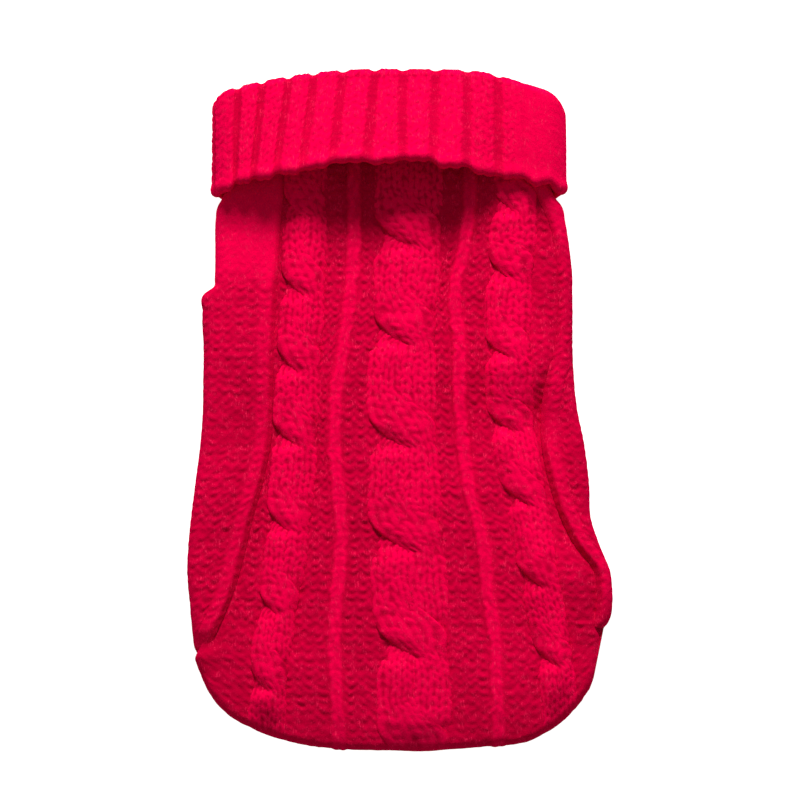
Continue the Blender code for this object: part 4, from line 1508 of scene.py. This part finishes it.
        def point(along: float, reach: Array | float, lift: float, y: Array, crown: Array) -> None:
            """Add one line of the section, all round the ring.

            Args:
                along: Its share of the way from the free edge to the fold.
                reach: How far out of the ring's middle it lies.
                lift: How much it is raised over the back.
                y: Its y.
                crown: How far it stands out, 0 to 1.
            """
            base = mix(s["edge"], s["fold"], along)
            arch = rounded(outward(base), 1.2) * above * (1.0 - self.lift_skew * at_right)
            x, z = self.centre_x + base + nx * reach, self.centre_z + nz * reach + lift * arch
            rows.append((np.stack([x, y, z], axis=1), crown))

        steps = self.flap_rows * 6
        for i in range(steps + 1):
            along = i / steps
            lip = math.exp(-(along / self.lip_width) ** 2)
            height = stitch(self.flap_rows * along)
            kept = np.where(swell < 0.0, 1.0 - 0.6 * lip, 1.0) * (1.0 - (1.0 - self.fold_gutter) * along ** 6)
            reach = (self.flap_outer - pressed(along) + swell * kept
                     + self.lip * lip * resting * (0.5 + 0.5 * edge_bump)
                     + (height - (1.0 - resting)) * self.knit_height)
            # Painted shade in the stitches' creases and in the gutters; the lip stands out and is painted
            # lighter.
            point(along, reach, *flap(along), (0.35 + 0.5 * height + 0.25 * lip) * painted_shade_factor)
        middle = (self.flap_outer + self.stand_inner) / 2.0
        steps = self.fold_rows * 6
        for i in range(1, steps + 1):
            turn = math.pi * i / steps
            height = stitch(self.flap_rows + self.fold_rows * i / steps)
            half_turn = math.cos(turn / 2.0)
            raised = self.fold_gutter * swell * half_turn ** 0.5 if i < steps else 0.0
            reach = bend + raised + (height - (1.0 - resting)) * self.knit_height * half_turn
            y = high + reach * math.sin(turn)
            point(1.0, middle + reach * math.cos(turn), self.fold_lift, y, height * painted_shade_factor)
        steps = self.stand_rows * 3
        for i in range(1, steps + 1):
            height = stitch(self.flap_rows + self.fold_rows + self.stand_rows * i / steps)
            along = 1.0 - i / steps
            point(along, self.stand_inner - 0.3 * height, *stand(along), height)
        for along in np.arange(9) / 8:
            # Crown 0: the stand under the flap is painted fully in the deep colour, as shade.
            point(along, self.stand_outer, *stand(along), 0.0 * wale)
        for i in range(37):
            along = 1.0 - i / 36
            height = stitch(self.flap_rows * along + 0.5)
            reach = self.flap_inner - pressed(along) * 0.8 - 0.35 * height * ease((0.6 - along) / 0.2)
            # Painted shade: the flap's underside gets lower crowns, so it is painted darker.
            point(along, reach, *flap(along), 0.6 * height)
        outer, inner = rows[0][0], rows[-1][0]
        for i in range(1, 7):
            turn = math.pi * i / 7.0
            edge = mix(inner, outer, 0.5 - 0.5 * math.cos(turn))
            edge[:, 1] -= self.edge_round * math.sin(turn)
            rows.append((edge, 0.5 + 0.0 * wale))
        points, crowns = zip(*rows)
        return np.array(points).transpose(1, 0, 2), np.array(crowns).T

    def build(self, material: bpy.types.Material) -> bpy.types.Object:
        """Make the collar.

        Args:
            material: The ribs' wool.

        Returns:
            The collar, closed all round.
        """
        cloth = Cloth()
        cloth.add_tube(*self.section(self.stations()))
        return cloth.build("collar_knit", material)


# --- Finishes ----------------------------------------------------------------


class NodeSheet:
    """Adds and feeds the nodes of one tree."""

    def __init__(self, tree: bpy.types.NodeTree) -> None:
        """Work on a tree."""
        self.tree = tree

    def feed(self, node: bpy.types.Node, values: Inputs) -> None:
        """Feed a node's inputs.

        Args:
            node: The node.
            values: By each input's name or number, the socket that feeds it or its plain value.
        """
        for name, value in values.items():
            if isinstance(value, bpy.types.NodeSocket):
                self.tree.links.new(value, node.inputs[name])
            else:
                node.inputs[name].default_value = value

    def add(self, kind: str, inputs: Inputs | None = None, **properties: object) -> bpy.types.Node:
        """Add a node.

        Args:
            kind: Its type's name.
            inputs: What feeds its inputs, by name or number.
            properties: Its settings.

        Returns:
            The node.
        """
        node = self.tree.nodes.new(kind)
        for name, value in properties.items():
            setattr(node, name, value)
        self.feed(node, inputs or {})
        return node

    def math(self, operation: str, one: object, other: object, clamp: bool = False) -> bpy.types.NodeSocket:
        """The outcome of a math node; each operand is a socket or a number."""
        return self.add("ShaderNodeMath", {0: one, 1: other}, operation=operation, use_clamp=clamp).outputs[0]

    def stretch(self, value: object, start: float, gain: float) -> bpy.types.NodeSocket:
        """How far a value is past the start, times the gain, kept from 0 to 1."""
        return self.math("MULTIPLY", self.math("SUBTRACT", value, start), gain, clamp=True)

    def blend(self, share: object, one: object, other: object, kind: str = "MIX") -> bpy.types.NodeSocket:
        """A mix of two colours; share, one and other are sockets or values."""
        node = self.add("ShaderNodeMix", {0: share, 6: one, 7: other}, data_type="RGBA", blend_type=kind)
        return node.outputs[2]

    def noise(self, place: bpy.types.NodeSocket, scale: float, detail: float, rough: float,
              distort: float = 0.0) -> bpy.types.NodeSocket:
        """Noise over a place."""
        return self.add("ShaderNodeTexNoise", {"Vector": place, "Scale": scale, "Detail": detail,
                                               "Roughness": rough, "Distortion": distort}).outputs[0]

    def seen_white(self, rest: float) -> bpy.types.NodeSocket:
        """A strength that is 1 to the camera and less, as given, to everything else."""
        seen = self.add("ShaderNodeLightPath").outputs["Is Camera Ray"]
        return self.math("ADD", self.math("MULTIPLY", seen, 1.0 - rest), rest)


def wool_group() -> bpy.types.NodeTree:
    """The wool's shared effect: clumps, loose fibres and specks of painted highlight, where loose fibres
    catch the light, worked out from the place.

    Returns:
        A node group with an input Seed and outputs Clump, Fibre, Speck and Height.
    """
    tree = bpy.data.node_groups.new("Wool fibres", "ShaderNodeTree")
    tree.interface.new_socket("Seed", in_out="INPUT", socket_type="NodeSocketFloat")
    for name in ("Clump", "Fibre", "Speck", "Height"):
        tree.interface.new_socket(name, in_out="OUTPUT", socket_type="NodeSocketFloat")
    sheet = NodeSheet(tree)
    given, result = sheet.add("NodeGroupInput"), sheet.add("NodeGroupOutput")
    offset = sheet.add("ShaderNodeCombineXYZ", {0: given.outputs["Seed"]}).outputs[0]
    place = sheet.add("ShaderNodeTexCoord").outputs["Object"]
    place = sheet.add("ShaderNodeVectorMath", {0: place, 1: offset}, operation="ADD").outputs[0]
    clump = sheet.noise(place, 620.0, 2.0, 0.6)
    fibre = sheet.noise(place, 2300.0, 3.0, 0.7, 1.4)
    hair = 0.0
    for angle, scale in ((0.4, 1900.0), (1.5, 2300.0), (2.5, 2100.0), (3.7, 1700.0)):
        turned = sheet.add("ShaderNodeMapping", {"Vector": place, "Rotation": (0.3, 0.2, angle),
                                                 "Scale": (1.0, 0.22, 0.6)}).outputs[0]
        lifted = sheet.stretch(sheet.noise(turned, scale, 1.0, 0.5, 1.1), 0.63, 10.0)
        hair = sheet.math("MAXIMUM", hair, lifted)
    patches = sheet.stretch(sheet.noise(place, 300.0, 1.0, 0.5), 0.42, 5.0)
    height = sheet.math("ADD", sheet.math("MULTIPLY", clump, 0.6), sheet.math("MULTIPLY", fibre, 0.5))
    height = sheet.math("ADD", height, sheet.math("MULTIPLY", hair, 0.35))
    speck = sheet.math("MULTIPLY", hair, patches)
    sheet.feed(result, {"Clump": clump, "Fibre": fibre, "Speck": speck, "Height": height})
    return tree


@dataclass(frozen=True)
class WoolFinish:
    """One colour of the fuzzy wool."""

    name: str
    # deep is the colour painted on low crowns, as painted shade in creases, gutters and troughs; main is the
    # wool's own colour.
    deep: Colour
    main: Colour
    # painted highlight: the colour of the specks where loose fibres catch the light
    fibre_glint: Colour = (1.0, 0.018, 0.095, 1.0)
    worn: Colour = (0.95, 0.0, 0.066, 1.0)
    speck: float = 0.8
    grain: float = 0.55
    seed: float = 0.0
    roughness: float = 0.92
    sheen: float = 0.35
    sheen_roughness: float = 0.5
    sheen_tint: Colour = (1.0, 0.0, 0.10, 1.0)
    bump: float = 0.5
    bump_depth: float = 0.0005

    def make(self, fibres: bpy.types.NodeTree) -> bpy.types.Material:
        """Make the material.

        Args:
            fibres: The wool's shared node group.

        Returns:
            The material.
        """
        material = bpy.data.materials.new(self.name)
        material.use_nodes = True
        sheet = NodeSheet(material.node_tree)
        wool = sheet.add("ShaderNodeGroup", {}, node_tree=fibres)
        sheet.feed(wool, {"Seed": self.seed})
        crown = sheet.add("ShaderNodeAttribute", attribute_name="crown").outputs["Fac"]
        # Painted shade: the lower a point's crown, the nearer its colour lies to the deep one.
        depth = sheet.add("ShaderNodeMapRange", {"Value": crown, "From Max": 0.75},
                          interpolation_type="SMOOTHSTEP").outputs[0]
        place = sheet.add("ShaderNodeTexCoord").outputs["Object"]
        patch = sheet.stretch(sheet.noise(place, 26.0, 3.0, 0.6), 0.42, 0.9)
        fleck = sheet.math("MULTIPLY", wool.outputs["Speck"], self.speck)
        fine = sheet.math("ADD", sheet.math("MULTIPLY", wool.outputs["Fibre"], 0.5), 0.72)
        dark = sheet.add("ShaderNodeCombineColor", {slot: fine for slot in range(3)}).outputs[0]
        colour = sheet.blend(depth, self.deep, self.main)
        colour = sheet.blend(patch, colour, self.worn)
        # Painted highlight: specks of the glint colour where loose fibres catch the light.
        colour = sheet.blend(fleck, colour, self.fibre_glint)
        clumped = sheet.math("MULTIPLY", wool.outputs["Clump"], 0.08)
        bump = sheet.add("ShaderNodeBump", {"Strength": self.bump, "Distance": self.bump_depth,
                                            "Height": wool.outputs["Height"]}).outputs[0]
        sheet.feed(material.node_tree.nodes["Principled BSDF"], {
            "Base Color": sheet.blend(self.grain, colour, dark, "MULTIPLY"),
            "Roughness": sheet.math("SUBTRACT", self.roughness, clumped),
            "Specular IOR Level": 0.0,
            "Sheen Weight": self.sheen,
            "Sheen Roughness": self.sheen_roughness,
            "Sheen Tint": self.sheen_tint,
            "Normal": bump,
        })
        return material


# --- The studio --------------------------------------------------------------


@dataclass(frozen=True)
class Studio:
    """The pale floor, the soft light and the camera."""

    frame_width: float = 0.322      # what the camera sees across, at the garment
    focal_length: float = 400.0
    elevation: float = 80.0
    aim: tuple[float, float, float] = (0.0, 0.0041, 0.004)
    key_place: tuple[float, float, float] = (0.0, 1.61, 1.05)
    key_size: float = 0.63
    key_power: float = 50.8
    fill: float = 0.26
    floor_glow: float = 0.25        # what the floor gives off to the garment
    floor_half: float = 3.0

    def camera(self) -> None:
        """Place the camera."""
        data = bpy.data.cameras.new("Camera")
        data.lens = self.focal_length
        data.sensor_width = 36.0
        data.clip_start = 0.01
        camera = add_object("Camera", data)
        distance = self.frame_width * self.focal_length / data.sensor_width
        angle = math.radians(self.elevation)
        aim = Vector(self.aim)
        camera.location = aim + Vector((0.0, -math.cos(angle), math.sin(angle))) * distance
        camera.rotation_euler = (aim - camera.location).to_track_quat("-Z", "Y").to_euler()
        bpy.context.scene.camera = camera

    def lights(self) -> None:
        """Set a soft key from beyond the neck, and an even pale surround."""
        light = bpy.data.lights.new("Key", "AREA")
        light.shape = "DISK"
        light.size = self.key_size
        light.energy = self.key_power
        key = add_object("Key", light)
        key.location = self.key_place
        key.rotation_euler = (-Vector(self.key_place)).to_track_quat("-Z", "Y").to_euler()
        world = bpy.data.worlds.new("Surround")
        world.use_nodes = True
        sheet = NodeSheet(world.node_tree)
        sheet.feed(world.node_tree.nodes["Background"],
                   {"Color": WHITE, "Strength": sheet.seen_white(self.fill)})
        bpy.context.scene.world = world

    def floor(self) -> None:
        """Lay the pale floor just under the garment."""
        mesh = bpy.data.meshes.new("Floor")
        far = self.floor_half
        corners = [(-far, -far, 0.0), (far, -far, 0.0), (far, far, 0.0), (-far, far, 0.0)]
        mesh.from_pydata(corners, [], [(0, 1, 2, 3)])
        floor = add_object("Floor", mesh)
        floor.location.z = -0.0002
        material = bpy.data.materials.new("Pale floor")
        material.use_nodes = True
        sheet = NodeSheet(material.node_tree)
        sheet.feed(material.node_tree.nodes["Principled BSDF"], {
            "Base Color": (0.6, 0.6, 0.6, 1.0),
            "Roughness": 0.9,
            "Specular IOR Level": 0.0,
            "Emission Color": WHITE,
            "Emission Strength": sheet.seen_white(self.floor_glow),
        })
        mesh.materials.append(material)

    def build(self) -> None:
        """Set up everything round the garment."""
        self.camera()
        self.lights()
        self.floor()
        bpy.context.scene.view_settings.view_transform = "Standard"


# --- The garment -------------------------------------------------------------


def dress(piece: bpy.types.Object, node: str | None = None) -> None:
    """Tie a piece to the frame and log it.

    Args:
        piece: The piece.
        node: The solid that it stands for, if it does.
    """
    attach(piece, "root")
    if node:
        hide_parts(node)
    LOG.info("%s: %d faces", piece.name, len(piece.data.polygons))


def main() -> None:
    """Build the garment on the frame, then the studio."""
    logging.basicConfig(level=logging.INFO, format="%(message)s")
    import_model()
    fibres = wool_group()
    # Each wool's first colour is its deep one, painted on low crowns as shade; the second is its own colour.
    body_wool = WoolFinish("Body wool", (0.52, 0.0, 0.030, 1.0), (0.95, 0.0, 0.064, 1.0)).make(fibres)
    rib_wool = WoolFinish("Rib wool", (0.54, 0.0, 0.032, 1.0), (0.90, 0.0, 0.061, 1.0),
                          seed=0.37).make(fibres)
    surface, stitches = BodySurface(), Stitches()

    back = BackPanel(surface, stitches).build(body_wool)
    dress(back, "back_panel")
    cables = [
        Cable("left_cable", (80.4, 48.5, 17.0, -12.8, -47.6, -81.6, -112.0), 2, surface, stitches,
              free_drop=0.5, front_rise=0.25, salt=20),
        Cable("centre_cable", (110.0, 69.0, 29.0, -13.0, -55.2, -98.2, -140.0), 3, surface, stitches,
              height=3.4, free_drop=0.6, front_rise=0.5, salt=24),
        Cable("right_cable", (82.6, 55.4, 22.6, -7.4, -37.5, -70.6, -102.6), 2, surface, stitches,
              free_drop=0.5, front_rise=0.3, salt=28),
    ]
    ropes = [cable.build(body_wool) for cable in cables]
    for rope in ropes:
        dress(rope)
    belly = BellyPanel(surface, stitches).build(body_wool)
    dress(belly, "belly_panel")
    collar = Collar(stitches).build(rib_wool)
    dress(collar, "collar")
    bands = [LegBand(f"{side}_leg_rib", centre).build(rib_wool) for side, centre in LEG_CENTRES.items()]
    for side, band in zip(LEG_CENTRES, bands):
        dress(band, f"{side}_leg_band")

    Studio().build()
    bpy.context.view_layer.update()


if __name__ == "__main__":
    main()
